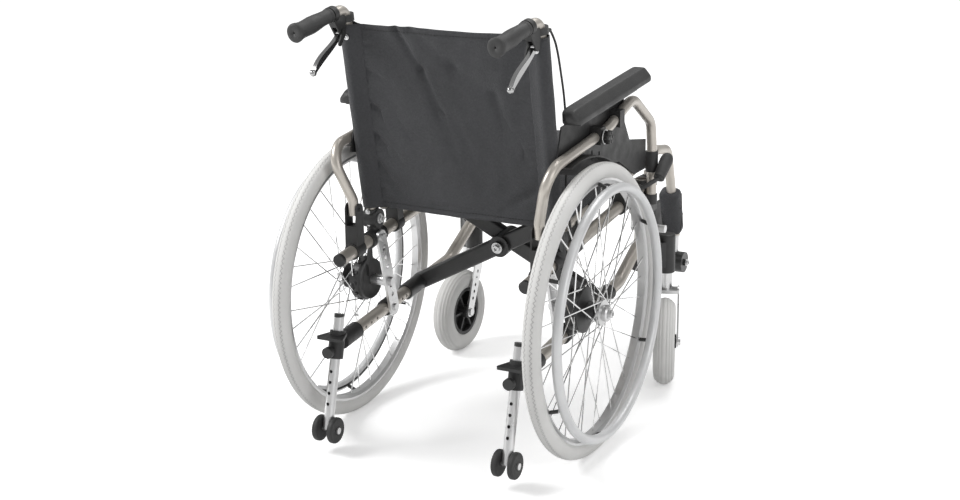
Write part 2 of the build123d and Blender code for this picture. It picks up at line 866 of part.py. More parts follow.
pad_outer_x = pad_inner_x + pad_width
pad_run = (pad_front_y - pad_back_y) / cos(radians(pad_rise))
with BuildPart() as arm_pad:
    with BuildSketch(pad_plane_at(pad_front_y)):
        with BuildLine():
            Polyline(
                (pad_inner_x, 0),
                (pad_outer_x, 0),
                (pad_outer_x, pad_height * pad_side_share),
                (pad_outer_x - pad_bevel, pad_height),
                (pad_inner_x + pad_edge, pad_height),
                (pad_inner_x, pad_height - pad_edge),
                close=True,
            )
        make_face()
    extrude(amount=pad_run)
    ends = arm_pad.faces().sort_by(Axis.Y)
    fillet(ends[0].edges().sort_by(Axis.Z)[-1], pad_end)
    chamfer(arm_pad.faces().sort_by(Axis.Y)[-1].edges().sort_by(Axis.Z)[-1], pad_end)
save_pair(arm_pad.part, "arm_pad")

flange_r = axle_z + mudguard_gap
guard_top_y = pad_front_y - 60
with BuildPart() as side_guard:
    with BuildSketch(side(guard_x)) as panel:
        with BuildLine():
            Polyline(
                guard_rear,
                (pad_back_y + 7, pad_bottom_z - 4),
                (guard_top_y, pad_bottom_z + (guard_top_y - pad_back_y) * pad_slope - 4),
                guard_notch,
                guard_step,
                (guard_front_y, guard_front_zs[1]),
                (guard_front_y, guard_front_zs[0]),
                *guard_lower_edge,
                close=True,
            )
        make_face()
        with Locations(*guard_windows):
            Rectangle(guard_window, guard_window, mode=Mode.SUBTRACT)
        with Locations(guard_slot_at):
            SlotOverall(*guard_slot, rotation=90, mode=Mode.SUBTRACT)
    extrude(amount=guard_thickness)
    # Rail under the pad.
    with BuildSketch(pad_plane_at(pad_front_y - 66)):
        with Locations(((guard_x + pad_outer_x - 8) / 2, -2 - clamp_gap)):
            Rectangle(pad_outer_x - 8 - guard_x, 4)
    extrude(amount=pad_run - 90)
    # Flange over the tyre.
    with BuildSketch(side(guard_x)) as mudguard:
        with Locations((0, axle_z)):
            Circle(flange_r + guard_thickness)
            Circle(flange_r, mode=Mode.SUBTRACT)
        with Locations((sum(mudguard_ys) / 2, axle_z + flange_r)):
            Rectangle(mudguard_ys[1] - mudguard_ys[0], mudguard_crop, mode=Mode.INTERSECT)
    extrude(amount=mudguard_x - guard_x)
    # Clips on the arm tube, and the knob on one of them.
    clip_x = arm_x + clip_reach
    for clip_y, clip_z in clip_places:
        block(
            (guard_x, clip_x),
            (clip_y - clip_half, clip_y + clip_half),
            (clip_z - clip_below, clip_z + clip_above),
        )
    knob_x = clip_x + knob_neck
    rod((clip_x, *knob_at), (knob_x, *knob_at), knob_neck_r)
    rod((knob_x, *knob_at), (knob_x + knob_depth, *knob_at), knob_r)
    # Latch sleeve on the front leg.
    latch_ends = [(arm_front_x, arm_front_y, latch_z) for latch_z in latch_zs]
    rod(*latch_ends, arm_r + latch_wall)
    bar(arm_route, arm_bends, arm_r + clamp_gap, Mode.SUBTRACT)
save_pair(side_guard.part, "side_guard")

# --- Rear wheel ---
with BuildPart() as rear_tyre:
    with BuildSketch(Plane.XZ):
        with Locations((wheel_x, axle_z + tyre_ring_r)):
            Circle(tyre_r)
        with Locations((wheel_x, axle_z + rim_outer_r - tyre_r)):
            Rectangle(4 * tyre_r, 2 * tyre_r, mode=Mode.SUBTRACT)
    revolve(axis=axle)
save_pair(rear_tyre.part, "rear_tyre")

rim_half = rim_width / 2
with BuildPart() as wheel_rim:
    with BuildSketch(Plane.XZ):
        with BuildLine():
            Polyline(
                (wheel_x - rim_half, axle_z + rim_outer_r),
                (wheel_x + rim_half, axle_z + rim_outer_r),
                (wheel_x + rim_half, axle_z + rim_outer_r - 5),
                (wheel_x + rim_half - 4, axle_z + rim_inner_r),
                (wheel_x - rim_half + 4, axle_z + rim_inner_r),
                (wheel_x - rim_half, axle_z + rim_outer_r - 5),
                close=True,
            )
        make_face()
    revolve(axis=axle)
    # Crossed spokes: two sets, leading and trailing, on each flange.
    sets = [
        (drum_x + drum_width - 5, drum_r, -3, 1),
        (outer_flange_x, outer_flange_r, 3, 1),
        (drum_x + drum_width - 5, drum_r, -3, -1),
        (outer_flange_x, outer_flange_r, 3, -1),
    ]
    pitch = 360 / spokes_per_set
    for order, (flange_x, flange_r_out, rim_dx, lead) in enumerate(sets):
        planes = []
        for spoke in range(spokes_per_set):
            rim_turn = radians(spoke * pitch + order * pitch / len(sets))
            hub_turn = rim_turn - lead * radians(spoke_wrap)
            hub_end = Vector(
                flange_x + 1.5 * lead,
                (flange_r_out + 1.2) * cos(hub_turn),
                axle_z + (flange_r_out + 1.2) * sin(hub_turn),
            )
            rim_end = Vector(
                wheel_x + rim_dx + 1.5 * lead,
                (rim_inner_r - 0.6) * cos(rim_turn),
                axle_z + (rim_inner_r - 0.6) * sin(rim_turn),
            )
            planes.append(Plane(origin=hub_end, z_dir=rim_end - hub_end))
        with BuildSketch(*planes) as ends:
            Rectangle(spoke_size, spoke_size)
        extrude(ends.sketch, amount=(rim_end - hub_end).length)
save_pair(wheel_rim.part, "wheel_rim")

with BuildPart() as handrim:
    with BuildSketch(Plane.XZ):
        with Locations((handrim_x, axle_z + handrim_ring_r)):
            Circle(handrim_r)
    revolve(axis=axle)
    # Standoffs that hold it to the rim.
    for standoff in range(standoff_count):
        turn = radians(standoff_start + standoff * 360 / standoff_count)
        outward = Vector(0, cos(turn), sin(turn))
        rim_end = Vector(wheel_x + rim_half + clamp_gap, 0, axle_z) + outward * (rim_outer_r - 6)
        ring_middle = Vector(handrim_x, 0, axle_z) + outward * handrim_ring_r
        reach = (ring_middle - rim_end).normalized()
        rod(rim_end, ring_middle - reach * (handrim_r + soft_gap), standoff_r)
save_pair(handrim.part, "handrim")

hub_profile = [
    (drum_x, axle_r + turn_gap),
    (drum_x, drum_r - 3),
    (drum_x + 3, drum_r),
    (drum_x + drum_width, drum_r),
    (drum_x + drum_width + 8, barrel_r + 4),
    (outer_flange_x - 12, barrel_r),
    (outer_flange_x - 3, outer_flange_r),
    (outer_flange_x + 3, outer_flange_r),
    (outer_flange_x + 5, barrel_r),
    (hub_outer_x - 3, barrel_r),
    (hub_outer_x, barrel_r - 3),
    (hub_outer_x, 0),
    (hub_outer_x - 6 + free_gap, 0),
    (hub_outer_x - 6 + free_gap, axle_r + turn_gap),
]
with BuildPart() as wheel_hub:
    with BuildSketch(Plane.XZ):
        with BuildLine():
            Polyline(*[(x, axle_z + radius) for x, radius in hub_profile], close=True)
        make_face()
    revolve(axis=axle)
    # Cooling ribs round the drum.
    with BuildSketch(side(drum_x + 5)) as ribs:
        with Locations((0, axle_z)):
            with PolarLocations(drum_r, rib_count):
                Rectangle(rib_width, rib_height)
    extrude(ribs.sketch, amount=drum_width - 14)
save_pair(wheel_hub.part, "wheel_hub")

# --- Front caster, modelled on its swivel axis with the wheel trailing behind ---
hub_half = caster_tyre_width / 2 + 3
leg_inner = hub_half + free_gap
with BuildPart() as caster_fork:
    for leg_x in (-leg_inner - fork_leg, leg_inner):
        strap(
            side(leg_x),
            [(-caster_trail, caster_r), (fork_top_y, crown_z - fork_top_drop)],
            [fork_width / 2, fork_width / 2 + 4],
            fork_leg,
        )
        for hole in fork_holes:
            hole_y = -caster_trail * (1 - hole) + fork_top_y * hole
            hole_z = caster_r + (crown_z - fork_top_drop - caster_r) * hole
            with BuildSketch(side(leg_x)):
                with Locations((hole_y, hole_z)):
                    Circle(fork_hole_r)
            extrude(amount=fork_leg, mode=Mode.SUBTRACT)
    crown_zs = (crown_z - crown_half, crown_z + crown_half)
    block((-leg_inner - fork_leg, leg_inner + fork_leg), crown_ys, crown_zs)
    rod((0, 0, crown_zs[0]), (0, 0, housing_bottom_z - turn_gap), 15)
    rod((0, 0, crown_z), (0, 0, housing_top_z - 12), stem_r)
    bolt_end = leg_inner + fork_leg + caster_nut
    rod((-bolt_end, -caster_trail, caster_r), (bolt_end, -caster_trail, caster_r), axle_r)
    for end in (-bolt_end, leg_inner + fork_leg):
        rod((end, -caster_trail, caster_r), (end + caster_nut, -caster_trail, caster_r),
            caster_nut_r)

with BuildPart() as caster_hub:
    with BuildSketch(Plane.XZ):
        with Locations((0, caster_r)):
            Rectangle(2 * hub_half, 32)
            with Locations((0, caster_hub_r / 2)):
                Rectangle(9, caster_hub_r)
            with Locations((0, caster_hub_r - 4)):
                Rectangle(caster_tyre_width - 10, 8)
        with Locations((0, 0)):
            Rectangle(8 * hub_half, 2 * caster_r, mode=Mode.SUBTRACT)
    revolve(axis=Axis((0, 0, caster_r), (1, 0, 0)))
    with BuildSketch(side(-caster_tyre_width / 2 + 6)) as ribs:
        with Locations((0, caster_r)):
            with PolarLocations((caster_hub_r + 8) / 2, caster_rib_count):
                Rectangle(caster_hub_r - 18, 5)
    extrude(ribs.sketch, amount=caster_tyre_width - 12)
    rod((-2 * caster_r, 0, caster_r), (2 * caster_r, 0, caster_r), axle_r + turn_gap,
        Mode.SUBTRACT)

tread = caster_tyre_width / 2
with BuildPart() as caster_tyre:
    with BuildSketch(Plane.XZ):
        with BuildLine():
            inner_z = caster_r + caster_hub_r + clamp_gap
            base = Line((-tread + 5, inner_z), (tread - 5, inner_z))
            right_wall = Line(base @ 1, (tread, inner_z + 16))
            crown = ThreePointArc(right_wall @ 1, (0, 2 * caster_r), (-tread, inner_z + 16))
            Line(crown @ 1, base @ 0)
        make_face()
    revolve(axis=Axis((0, 0, caster_r), (1, 0, 0)))

for hand, name, swivel in (
    (1, "right", caster_swivel_right),
    (-1, "left", caster_swivel_left),
):
    stem_at = Location((hand * caster_x, caster_y, 0), (0, 0, swivel))
    trail_at = stem_at * Location((0, -caster_trail, 0))
    save(caster_fork.part.moved(stem_at), f"{name}_caster_fork")
    save(caster_hub.part.moved(trail_at), f"{name}_caster_hub")
    save(caster_tyre.part.moved(trail_at), f"{name}_caster_tyre")

# --- Legrest hanger with its extension and footplate hub ---
hanger_route = [
    (frame_x, hanger_y, hanger_foot_z),
    (frame_x, hanger_y, hanger_top_z),
    (frame_x - 1, *hanger_knee),
    (hub_x, hub_y, hub_z + extension_length),
]
extension_end = Vector(hub_x, hub_y, hub_z)
foot_pin_ends = (hub_y - knuckle_length, hub_y + knuckle_length)
with BuildPart() as legrest_hanger:
    bar(hanger_route, hanger_bends, hanger_r)
    rod((frame_x, hanger_y, post_top_z - 2 + turn_gap), (frame_x, hanger_y, post_top_z + 6),
        hanger_r + hanger_collar)
    rod(hanger_route[-1], extension_end, extension_r)
    rod((hub_x - hub_width / 2, hub_y, hub_z), (hub_x + hub_width / 2, hub_y, hub_z), hub_r)
    rod((hub_x + hub_width / 2, hub_y, hub_z), (hub_x + hub_width / 2 + hub_cap, hub_y, hub_z),
        hub_cap_r)
    # Tongue and pin that the footplate folds on.
    tongue_ys = (hub_y - tongue_half, hub_y + tongue_half)
    block((foot_pin_x, hub_x), tongue_ys, (foot_pin_z - tongue_r, foot_pin_z + tongue_r))
    rod((foot_pin_x, tongue_ys[0], foot_pin_z), (foot_pin_x, tongue_ys[1], foot_pin_z), tongue_r)
    rod((foot_pin_x, foot_pin_ends[0], foot_pin_z), (foot_pin_x, foot_pin_ends[1], foot_pin_z),
        foot_pin_r)
save_pair(legrest_hanger.part, "legrest_hanger")

# --- Calf pad: padded sleeve round the hanger ---
slope_run = Vector(*hanger_route[3]) - Vector(*hanger_route[2])
pad_top_at = Vector(*hanger_route[2]) + slope_run * calf_share
with BuildPart() as calf_pad:
    with BuildSketch(Plane(origin=pad_top_at, x_dir=(1, 0, 0), z_dir=slope_run)) as calf_profile:
        with Locations((-calf_inset, 0)):
            RectangleRounded(calf_width, calf_depth, calf_corner)
    extrude(amount=calf_length)
    rod(hanger_route[2], hanger_route[3], hanger_r + soft_gap, Mode.SUBTRACT)
    rod(hanger_route[2], Vector(*hanger_route[2]) + slope_run * 2, extension_r + soft_gap,
        Mode.SUBTRACT)
save_pair(calf_pad.part, "calf_pad")

# --- Footplate, folded up ---
foot_x = foot_pin_x - foot_pin_r - foot_thickness
foot_bottom_z = foot_pin_z + foot_lift
with BuildPart() as footplate:
    with BuildSketch(side(foot_x)) as tread_outline:
        with Locations((foot_y + foot_length / 2, foot_bottom_z + foot_depth / 2)):
            RectangleRounded(foot_length, foot_depth, foot_corner)
    extrude(amount=foot_thickness)
    for back, front in (
        (foot_pin_ends[0] + 2, tongue_ys[0] - free_gap),
        (tongue_ys[1] + free_gap, foot_pin_ends[1] - 2),
    ):
        rod((foot_pin_x, back, foot_pin_z), (foot_pin_x, front, foot_pin_z), knuckle_r)
        block(
            (foot_x, foot_pin_x),
            (back, front),
            (foot_pin_z, foot_bottom_z + leaf_height),
        )
    block(
        (foot_x + foot_thickness, foot_pin_x + knuckle_r),
        (foot_y, foot_y + foot_length),
        (foot_pin_z + knuckle_r, foot_bottom_z + leaf_height + 8),
        Mode.SUBTRACT,
    )
    rod((foot_pin_x, foot_y, foot_pin_z), (foot_pin_x, foot_y + foot_length, foot_pin_z),
        foot_pin_r + turn_gap, Mode.SUBTRACT)
save_pair(footplate.part, "footplate")

# --- Wheel lock ---
lock_plate_x = frame_x + tube_r + lock_base + free_gap
lock_arm_end = (lock_y + lock_arm, lock_z + lock_arm)
grip_back, grip_front_end = [Vector(lock_grip_x, *end) for end in lock_grip_ends]
with BuildPart() as wheel_lock_lever:
    strap(side(lock_plate_x), [(lock_y, lock_z), lock_arm_end], [12, 8], lock_plate)
    bar(
        [(lock_plate_x + lock_plate / 2, *lock_arm_end), (lock_plate_x + 16, *lock_bend),
         grip_back, grip_front_end],
        [10, 14],
        lock_rod_r,
    )
    rod(grip_back, grip_front_end, lock_grip_r)
    fillet(wheel_lock_lever.edges().filter_by(GeomType.CIRCLE).group_by(Axis.Y)[-1], 8)
    rod((lock_plate_x - 5, lock_y, lock_z), (lock_plate_x + 10, lock_y, lock_z),
        lock_axle_r + turn_gap, Mode.SUBTRACT)
save_pair(wheel_lock_lever.part, "wheel_lock_lever")

shoe_x = lock_plate_x + lock_plate + free_gap
with BuildPart() as brake_shoe:
    strap(side(shoe_x), [(lock_shoe_y, lock_shoe_z), (lock_pin_y, lock_pin_z)], [11, 11],
          shoe_thickness)
    rod((shoe_x, lock_pin_y, lock_pin_z), (lock_pin_end_x, lock_pin_y, lock_pin_z), lock_pin_r)
    rod((shoe_x - 5, lock_shoe_y, lock_shoe_z), (shoe_x + 15, lock_shoe_y, lock_shoe_z),
        lock_axle_r + turn_gap, Mode.SUBTRACT)
save_pair(brake_shoe.part, "brake_shoe")

# --- Attendant's brake lever and its parking catch ---
with BuildPart() as hand_lever:
    with BuildSketch(side(cane_x - lever_width / 2)) as blade:
        with BuildLine():
            top = Spline(
                (lever_y, lever_z + 7),
                (lever_y - 19, lever_z - 10),
                (lever_y - 61, lever_z - 30),
                (lever_tip_y, lever_tip_z),
            )
            bottom = Spline(
                (lever_y, lever_z - 8),
                (lever_y - 23, lever_z - 24),
                (lever_y - 57, lever_z - 43),
                (lever_tip_y + 2, lever_tip_z - 5),
            )
            Line(top @ 0, bottom @ 0)
            Line(top @ 1, bottom @ 1)
        make_face()
        with Locations((lever_y, lever_z)):
            Circle(lever_eye_r)
        with Locations((lever_tip_y + 2, lever_tip_z)):
            Circle(lever_tip_r)
        with Locations((lever_y, lever_z)):
            Circle(lever_pin_r + turn_gap, mode=Mode.SUBTRACT)
    extrude(amount=lever_width)
save_pair(hand_lever.part, "hand_lever")

catch_x = cane_x - cheek_x - cheek - 1 - cheek
with BuildPart() as park_catch:
    strap(side(catch_x), [(lever_y, lever_z), (lever_y - 16, lever_z - 20)], [7, 5], cheek)
    rod((catch_x - 5, lever_y, lever_z), (catch_x + 10, lever_y, lever_z),
        lever_pin_r + turn_gap, Mode.SUBTRACT)
save_pair(park_catch.part, "park_catch")

# --- Anti-tip tube, drilled for its height, and its two small wheels ---
with BuildPart() as antitip_tube:
    rod(on_tip(tip_axle_z), on_tip(tip_top_z), tip_r)
    rod(on_tip(tip_axle_z + 20), on_tip(tip_top_z), tip_r - tube_wall, Mode.SUBTRACT)
    rod(on_tip(tip_top_z - tip_cap), on_tip(tip_top_z + tip_cap), tip_r)
    for hole_z in tip_hole_zs:
        rod(on_tip(hole_z) - Vector(0, 20, 0), on_tip(hole_z), tip_hole_r, Mode.SUBTRACT)
    tip_axle = on_tip(tip_axle_z)
    axle_reach = tip_r + free_gap + tip_wheel_width
    rod(tip_axle - Vector(axle_reach, 0, 0), tip_axle + Vector(axle_reach, 0, 0), tip_pin_r)
    for end in (-axle_reach - tip_washer, axle_reach):
        rod(tip_axle + Vector(end, 0, 0), tip_axle + Vector(end + tip_washer, 0, 0),
            tip_washer_r)
save_pair(antitip_tube.part, "antitip_tube")

with BuildPart() as antitip_wheels:
    for inner in (-tip_r - free_gap - tip_wheel_width, tip_r + free_gap):
        wheel_from = tip_axle + Vector(inner + free_gap / 2, 0, 0)
        wheel_to = tip_axle + Vector(inner + tip_wheel_width - free_gap / 2, 0, 0)
        rod(wheel_from, wheel_to, tip_wheel_r)
    fillet(antitip_wheels.edges().filter_by(GeomType.CIRCLE), 4)
    rod(tip_axle - Vector(50, 0, 0), tip_axle + Vector(50, 0, 0), tip_pin_r + turn_gap,
        Mode.SUBTRACT)
save_pair(antitip_wheels.part, "antitip_wheels")
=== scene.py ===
# %% [markdown]
# # Folding wheelchair
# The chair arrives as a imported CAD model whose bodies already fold, roll and swivel. This script
# dresses it: each CAD node gets a finish of its own, and whatever is soft (canvas, cushions, arm
# pads, calf pads, brake cables) is modelled again as cloth, foam or cord.

# %% Load the frame
import json
from math import cos, pi, radians, sin, tan

import bmesh
import bpy
from mathutils import Matrix, Vector, noise

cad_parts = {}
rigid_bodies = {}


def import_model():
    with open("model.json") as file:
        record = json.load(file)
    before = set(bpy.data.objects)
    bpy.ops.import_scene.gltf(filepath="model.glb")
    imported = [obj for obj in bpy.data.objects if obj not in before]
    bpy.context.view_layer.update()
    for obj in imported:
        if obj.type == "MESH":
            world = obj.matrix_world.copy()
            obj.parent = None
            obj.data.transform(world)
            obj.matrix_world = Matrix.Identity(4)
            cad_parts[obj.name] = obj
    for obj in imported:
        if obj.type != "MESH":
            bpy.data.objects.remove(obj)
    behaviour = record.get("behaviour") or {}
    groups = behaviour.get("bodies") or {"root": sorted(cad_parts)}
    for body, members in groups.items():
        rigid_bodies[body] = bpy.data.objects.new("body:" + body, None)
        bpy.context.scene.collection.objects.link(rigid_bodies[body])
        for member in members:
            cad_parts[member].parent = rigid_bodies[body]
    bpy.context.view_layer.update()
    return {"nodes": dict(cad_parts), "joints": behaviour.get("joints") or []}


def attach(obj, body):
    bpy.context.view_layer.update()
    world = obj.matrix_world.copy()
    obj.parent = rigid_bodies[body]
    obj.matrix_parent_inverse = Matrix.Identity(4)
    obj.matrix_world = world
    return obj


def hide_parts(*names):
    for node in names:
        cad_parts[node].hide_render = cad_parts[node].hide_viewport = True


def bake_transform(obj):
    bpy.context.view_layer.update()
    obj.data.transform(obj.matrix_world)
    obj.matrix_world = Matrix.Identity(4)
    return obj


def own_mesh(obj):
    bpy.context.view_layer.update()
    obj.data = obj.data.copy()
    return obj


for startup_object in list(bpy.data.objects):
    bpy.data.objects.remove(startup_object)
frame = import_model()
nodes, joints = frame["nodes"], {joint["name"]: joint for joint in frame["joints"]}
sides = {"right": 1, "left": -1}


def show(item):
    """Puts a new object into the scene."""
    bpy.context.scene.collection.objects.link(item)
    return item


# %% [markdown]
# ## Camera
# The chair is seen from behind and to its right, from about a standing person's chest.
# A camera can be aimed with a constraint, but three plain angles say the same and stay readable:
# the turn about the vertical, the dip below the horizon, and a trace of roll.

# %% Camera
camera_turn, camera_dip, camera_roll = radians(27.43), radians(16.59), radians(-0.74)
camera = show(bpy.data.objects.new("camera", bpy.data.cameras.new("camera")))
camera.location = (1.5502, -3.1325, 1.3760)
camera.rotation_euler = (
    Matrix.Rotation(camera_turn, 3, "Z")
    @ Matrix.Rotation(pi / 2 - camera_dip, 3, "X")
    @ Matrix.Rotation(camera_roll, 3, "Z")
).to_euler()
camera.data.lens = 61.56
camera.data.shift_x, camera.data.shift_y = -0.0083, 0.0014
bpy.context.scene.camera = camera
bpy.context.scene.view_settings.view_transform = "Standard"

# %% [markdown]
# ## Finishes
# Real paint, plastic and rubber are never one flat colour: they vary a little in tone and gloss,
# carry a fine grain, and are rubbed paler along their edges. One small helper adds any shader
# node, and the finishes below are built from it. Patterns read Object coordinates, so they stay
# on a piece when its body moves.


# %% Helpers for finishes
def add_node(material, kind, inputs=(), **settings):
    """Adds a shader node. An input is a value, or another node's output to link."""
    made = material.node_tree.nodes.new("ShaderNode" + kind)
    for name, value in settings.items():
        setattr(made, name, value)
    for name, value in dict(inputs).items():
        if isinstance(value, bpy.types.NodeSocket):
            material.node_tree.links.new(value, made.inputs[name])
        else:
            made.inputs[name].default_value = value
    return made


def maths(material, operation, first, second=0.0, third=0.0):
    """Output of one arithmetic node."""
    inputs = {0: first, 1: second, 2: third}
    return add_node(material, "Math", inputs, operation=operation).outputs[0]


def cloud(material, place, scale, detail=4.0):
    """Soft random pattern from 0 to 1."""
    return add_node(
        material, "TexNoise", {"Vector": place, "Scale": scale, "Detail": detail}
    ).outputs[0]


def spread(material, value, low, high, start=0.3, end=0.7):
    """Stretches a pattern from start to end over low to high."""
    inputs = {"Value": value, "From Min": start, "From Max": end, "To Min": low, "To Max": high}
    return add_node(material, "MapRange", inputs).outputs[0]


def mixed(material, factor, first, second):
    """Colour between two colours."""
    node = add_node(material, "Mix", data_type="RGBA")
    for socket, value in zip((node.inputs[0], node.inputs[6], node.inputs[7]),
                             (factor, first, second)):
        if isinstance(value, bpy.types.NodeSocket):
            material.node_tree.links.new(value, socket)
        else:
            socket.default_value = value
    return node.outputs[2]


def grey(value):
    """A neutral colour."""
    return (value, value, value, 1)


def edge_of(material, radius):
    """Near 1 along sharp edges and 0 on flat faces."""
    rounded = add_node(material, "Bevel", {"Radius": radius}, samples=4).outputs[0]
    flat = add_node(material, "NewGeometry").outputs["Normal"]
    facing = add_node(
        material, "VectorMath", {0: rounded, 1: flat}, operation="DOT_PRODUCT"
    ).outputs["Value"]
    return spread(material, facing, 1.0, 0.0, 0.86, 0.99)


def new_finish(name):
    """A material, its shader, and the place on the piece that patterns read."""
    material = bpy.data.materials.new(name)
    material.use_nodes = True
    shader = material.node_tree.nodes["Principled BSDF"]
    place = add_node(material, "TexCoord").outputs["Object"]
    return material, shader, place


def set_shader(material, shader, **values):
    """Sets or links the shader's sockets, named with underscores for spaces."""
    for name, value in values.items():
        socket = shader.inputs[name.replace("_", " ")]
        if isinstance(value, bpy.types.NodeSocket):
            material.node_tree.links.new(value, socket)
        else:
            socket.default_value = value


def add_relief(material, shader, height, depth, strength=1.0):
    """Bumps the surface by a height pattern of that depth in metres."""
    bump = add_node(
        material, "Bump", {"Height": height, "Distance": depth, "Strength": strength}
    )
    material.node_tree.links.new(bump.outputs[0], shader.inputs["Normal"])


# %% [markdown]
# ## Paint, plastic, rubber and metal
# One recipe serves all hard finishes. A broad cloud shifts the tone, a second one the gloss, a
# fine grain gives relief, and the edges are rubbed towards a paler colour. The numbers decide
# whether it reads as champagne paint, moulded nylon or brushed aluminium.


# %% Hard finishes
def hard_finish(name, colour, shade, roughness, grain, metallic=0.0, worn=None, **fixed):
    """Material with uneven tone and gloss, fine grain, and rubbed edges.

    grain is (patterns per metre, depth in metres); worn is the colour of rubbed edges.
    """
    material, shader, place = new_finish(name)
    tone = spread(material, cloud(material, place, 9.0), 0.0, 1.0)
    look = mixed(material, tone, colour, shade)
    if worn:
        rubbed = maths(
            material, "MULTIPLY", edge_of(material, 0.0012),
            spread(material, cloud(material, place, 60.0), 0.0, 0.55),
        )
        look = mixed(material, rubbed, look, worn)
    gloss = spread(material, cloud(material, place, 38.0, 6.0), *roughness)
    set_shader(material, shader, Base_Color=look, Roughness=gloss, Metallic=metallic, **fixed)
    add_relief(material, shader, cloud(material, place, grain[0], 2.0), grain[1])
    return material


finishes = {
    "frame_paint": hard_finish(
        "champagne_paint", (0.545, 0.510, 0.462, 1), (0.480, 0.446, 0.400, 1), (0.32, 0.44),
        (1400, 0.00004), metallic=0.60, worn=(0.66, 0.64, 0.61, 1), Coat_Weight=0.3,
        Coat_Roughness=0.25,
    ),
    "black_paint": hard_finish(
        "black_satin_paint", grey(0.030), grey(0.021), (0.34, 0.48), (900, 0.00005),
        worn=grey(0.10), Coat_Weight=0.15, Coat_Roughness=0.35,
    ),
    "black_plastic": hard_finish(
        "black_moulding", grey(0.030), grey(0.020), (0.42, 0.60), (1100, 0.00008),
        worn=grey(0.085),
    ),
    "soft_grip": hard_finish(
        "soft_grip_rubber", grey(0.050), grey(0.036), (0.52, 0.68), (1300, 0.00012),
        worn=grey(0.09),
    ),
    "black_rubber": hard_finish(
        "black_rubber", grey(0.036), grey(0.026), (0.55, 0.72), (800, 0.00012), worn=grey(0.075),
    ),
    "silver_metal": hard_finish(
        "satin_aluminium", grey(0.66), grey(0.56), (0.24, 0.40), (1600, 0.00003),
        metallic=0.95, worn=grey(0.85),
    ),
}
print("hard finishes", sorted(finishes))

# %% [markdown]
# ## Wheels
# A wheel's finish depends on the distance from its axle: bright spokes run inside a satin rim,
# and black sleeves hold the pale handrim. A Mapping node moves the pattern's centre onto the
# axle, and the distance then says which part of the wheel a point is on. The tyre's zigzag tread
# is the same idea, with the angle round the axle as well.

# %% Wheel finishes
axle_y, axle_z = joints["right_wheel_spin"]["pos_m"][1:]
wheel_x = abs(joints["right_wheel_spin"]["pos_m"][0])
rim_inner, standoff_end, flange_start = 0.2612, 0.3114, 0.2992


def from_axle(material, place, x, y, z):
    """Distances across, forward and up from a wheel's centre, and the radius round its axle."""
    centred = add_node(material, "Mapping", {"Vector": place, "Location": (-x, -y, -z)})
    parts = add_node(material, "SeparateXYZ", {"Vector": centred.outputs[0]}).outputs
    square = maths(material, "MULTIPLY", parts[1], parts[1])
    radius = maths(
        material, "SQRT", maths(material, "MULTIPLY_ADD", parts[2], parts[2], square)
    )
    return parts[0], parts[1], parts[2], radius


def split_finish(name, edge, axis, inside, outside, metallic):
    """Two finishes in one material, split at a distance from the axle or from the middle."""
    material, shader, place = new_finish(name)
    across, _, _, radius = from_axle(material, place, 0, axle_y, axle_z)
    distance = radius if axis == "radius" else maths(material, "ABSOLUTE", across)
    outer = maths(material, "GREATER_THAN", distance, edge)
    tone = spread(material, cloud(material, place, 14.0), 0.86, 1.0)
    look = mixed(material, outer, inside[0], outside[0])
    look = mixed(material, tone, grey(0.02), look)
    gloss = mixed(material, outer, grey(inside[1]), grey(outside[1]))
    uneven = spread(material, cloud(material, place, 50), -0.05, 0.05)
    gloss = maths(material, "ADD", gloss, uneven)
    shine = maths(material, "MULTIPLY_ADD", outer, metallic[1] - metallic[0], metallic[0])
    set_shader(material, shader, Base_Color=look, Roughness=gloss, Metallic=shine)
    add_relief(material, shader, cloud(material, place, 1300, 2.0), 0.00004)
    return material


rim_finish = split_finish(
    "rim_and_spokes", rim_inner, "radius", (grey(0.74), 0.20), (grey(0.66), 0.34), (1.0, 0.8)
)
finishes["handrim_coat"] = split_finish(
    "handrim_and_sleeves", standoff_end, "across", (grey(0.03), 0.5),
    ((0.74, 0.745, 0.75, 1), 0.36), (0.0, 0.25)
)
hub_finish = split_finish(
    "hub_and_flange", flange_start, "across", (grey(0.026), 0.38), (grey(0.60), 0.30),
    (0.1, 0.95),
)


def tyre_finish(name, centre, zigzags, row, swing, width):
    """Pale rubber with a fine zigzag groove at each side of the tread's middle, painted darker
    inside as painted shade.
    """
    material, shader, place = new_finish(name)
    across, forward, up, radius = from_axle(material, place, *centre)
    turn = maths(material, "ARCTAN2", up, forward)
    wave = maths(material, "PINGPONG", maths(material, "MULTIPLY", turn, zigzags / pi), 1.0)
    off = maths(material, "SUBTRACT", maths(material, "ABSOLUTE", across), row)
    off = maths(material, "ABSOLUTE", maths(material, "MULTIPLY_ADD", wave, swing, off))
    on_tread = maths(material, "GREATER_THAN", radius, centre[2] - 0.012)
    depth = maths(material, "MULTIPLY", spread(material, off, 1, 0, 0, width), on_tread)
    dust = spread(material, cloud(material, place, 12.0, 8.0), 0.0, 1.0)
    look = mixed(material, dust, (0.80, 0.795, 0.78, 1), (0.73, 0.725, 0.71, 1))
    # The grooves are mixed towards dark grey: painted shade in the grooves.
    look = mixed(material, maths(material, "MULTIPLY", depth, 0.5), look, grey(0.34))
    fine = cloud(material, place, 700, 3.0)
    height = maths(material, "MULTIPLY_ADD", depth, -1.0, maths(material, "MULTIPLY", fine, 0.12))
    set_shader(material, shader, Base_Color=look, Roughness=0.62)
    add_relief(material, shader, height, 0.0011)
    return material


rear_tyre_finish = {
    side: tyre_finish(
        side + "_tyre_rubber", (hand * wheel_x, axle_y, axle_z), 190, 0.0085, 0.0042, 0.0011
    )
    for side, hand in sides.items()
}
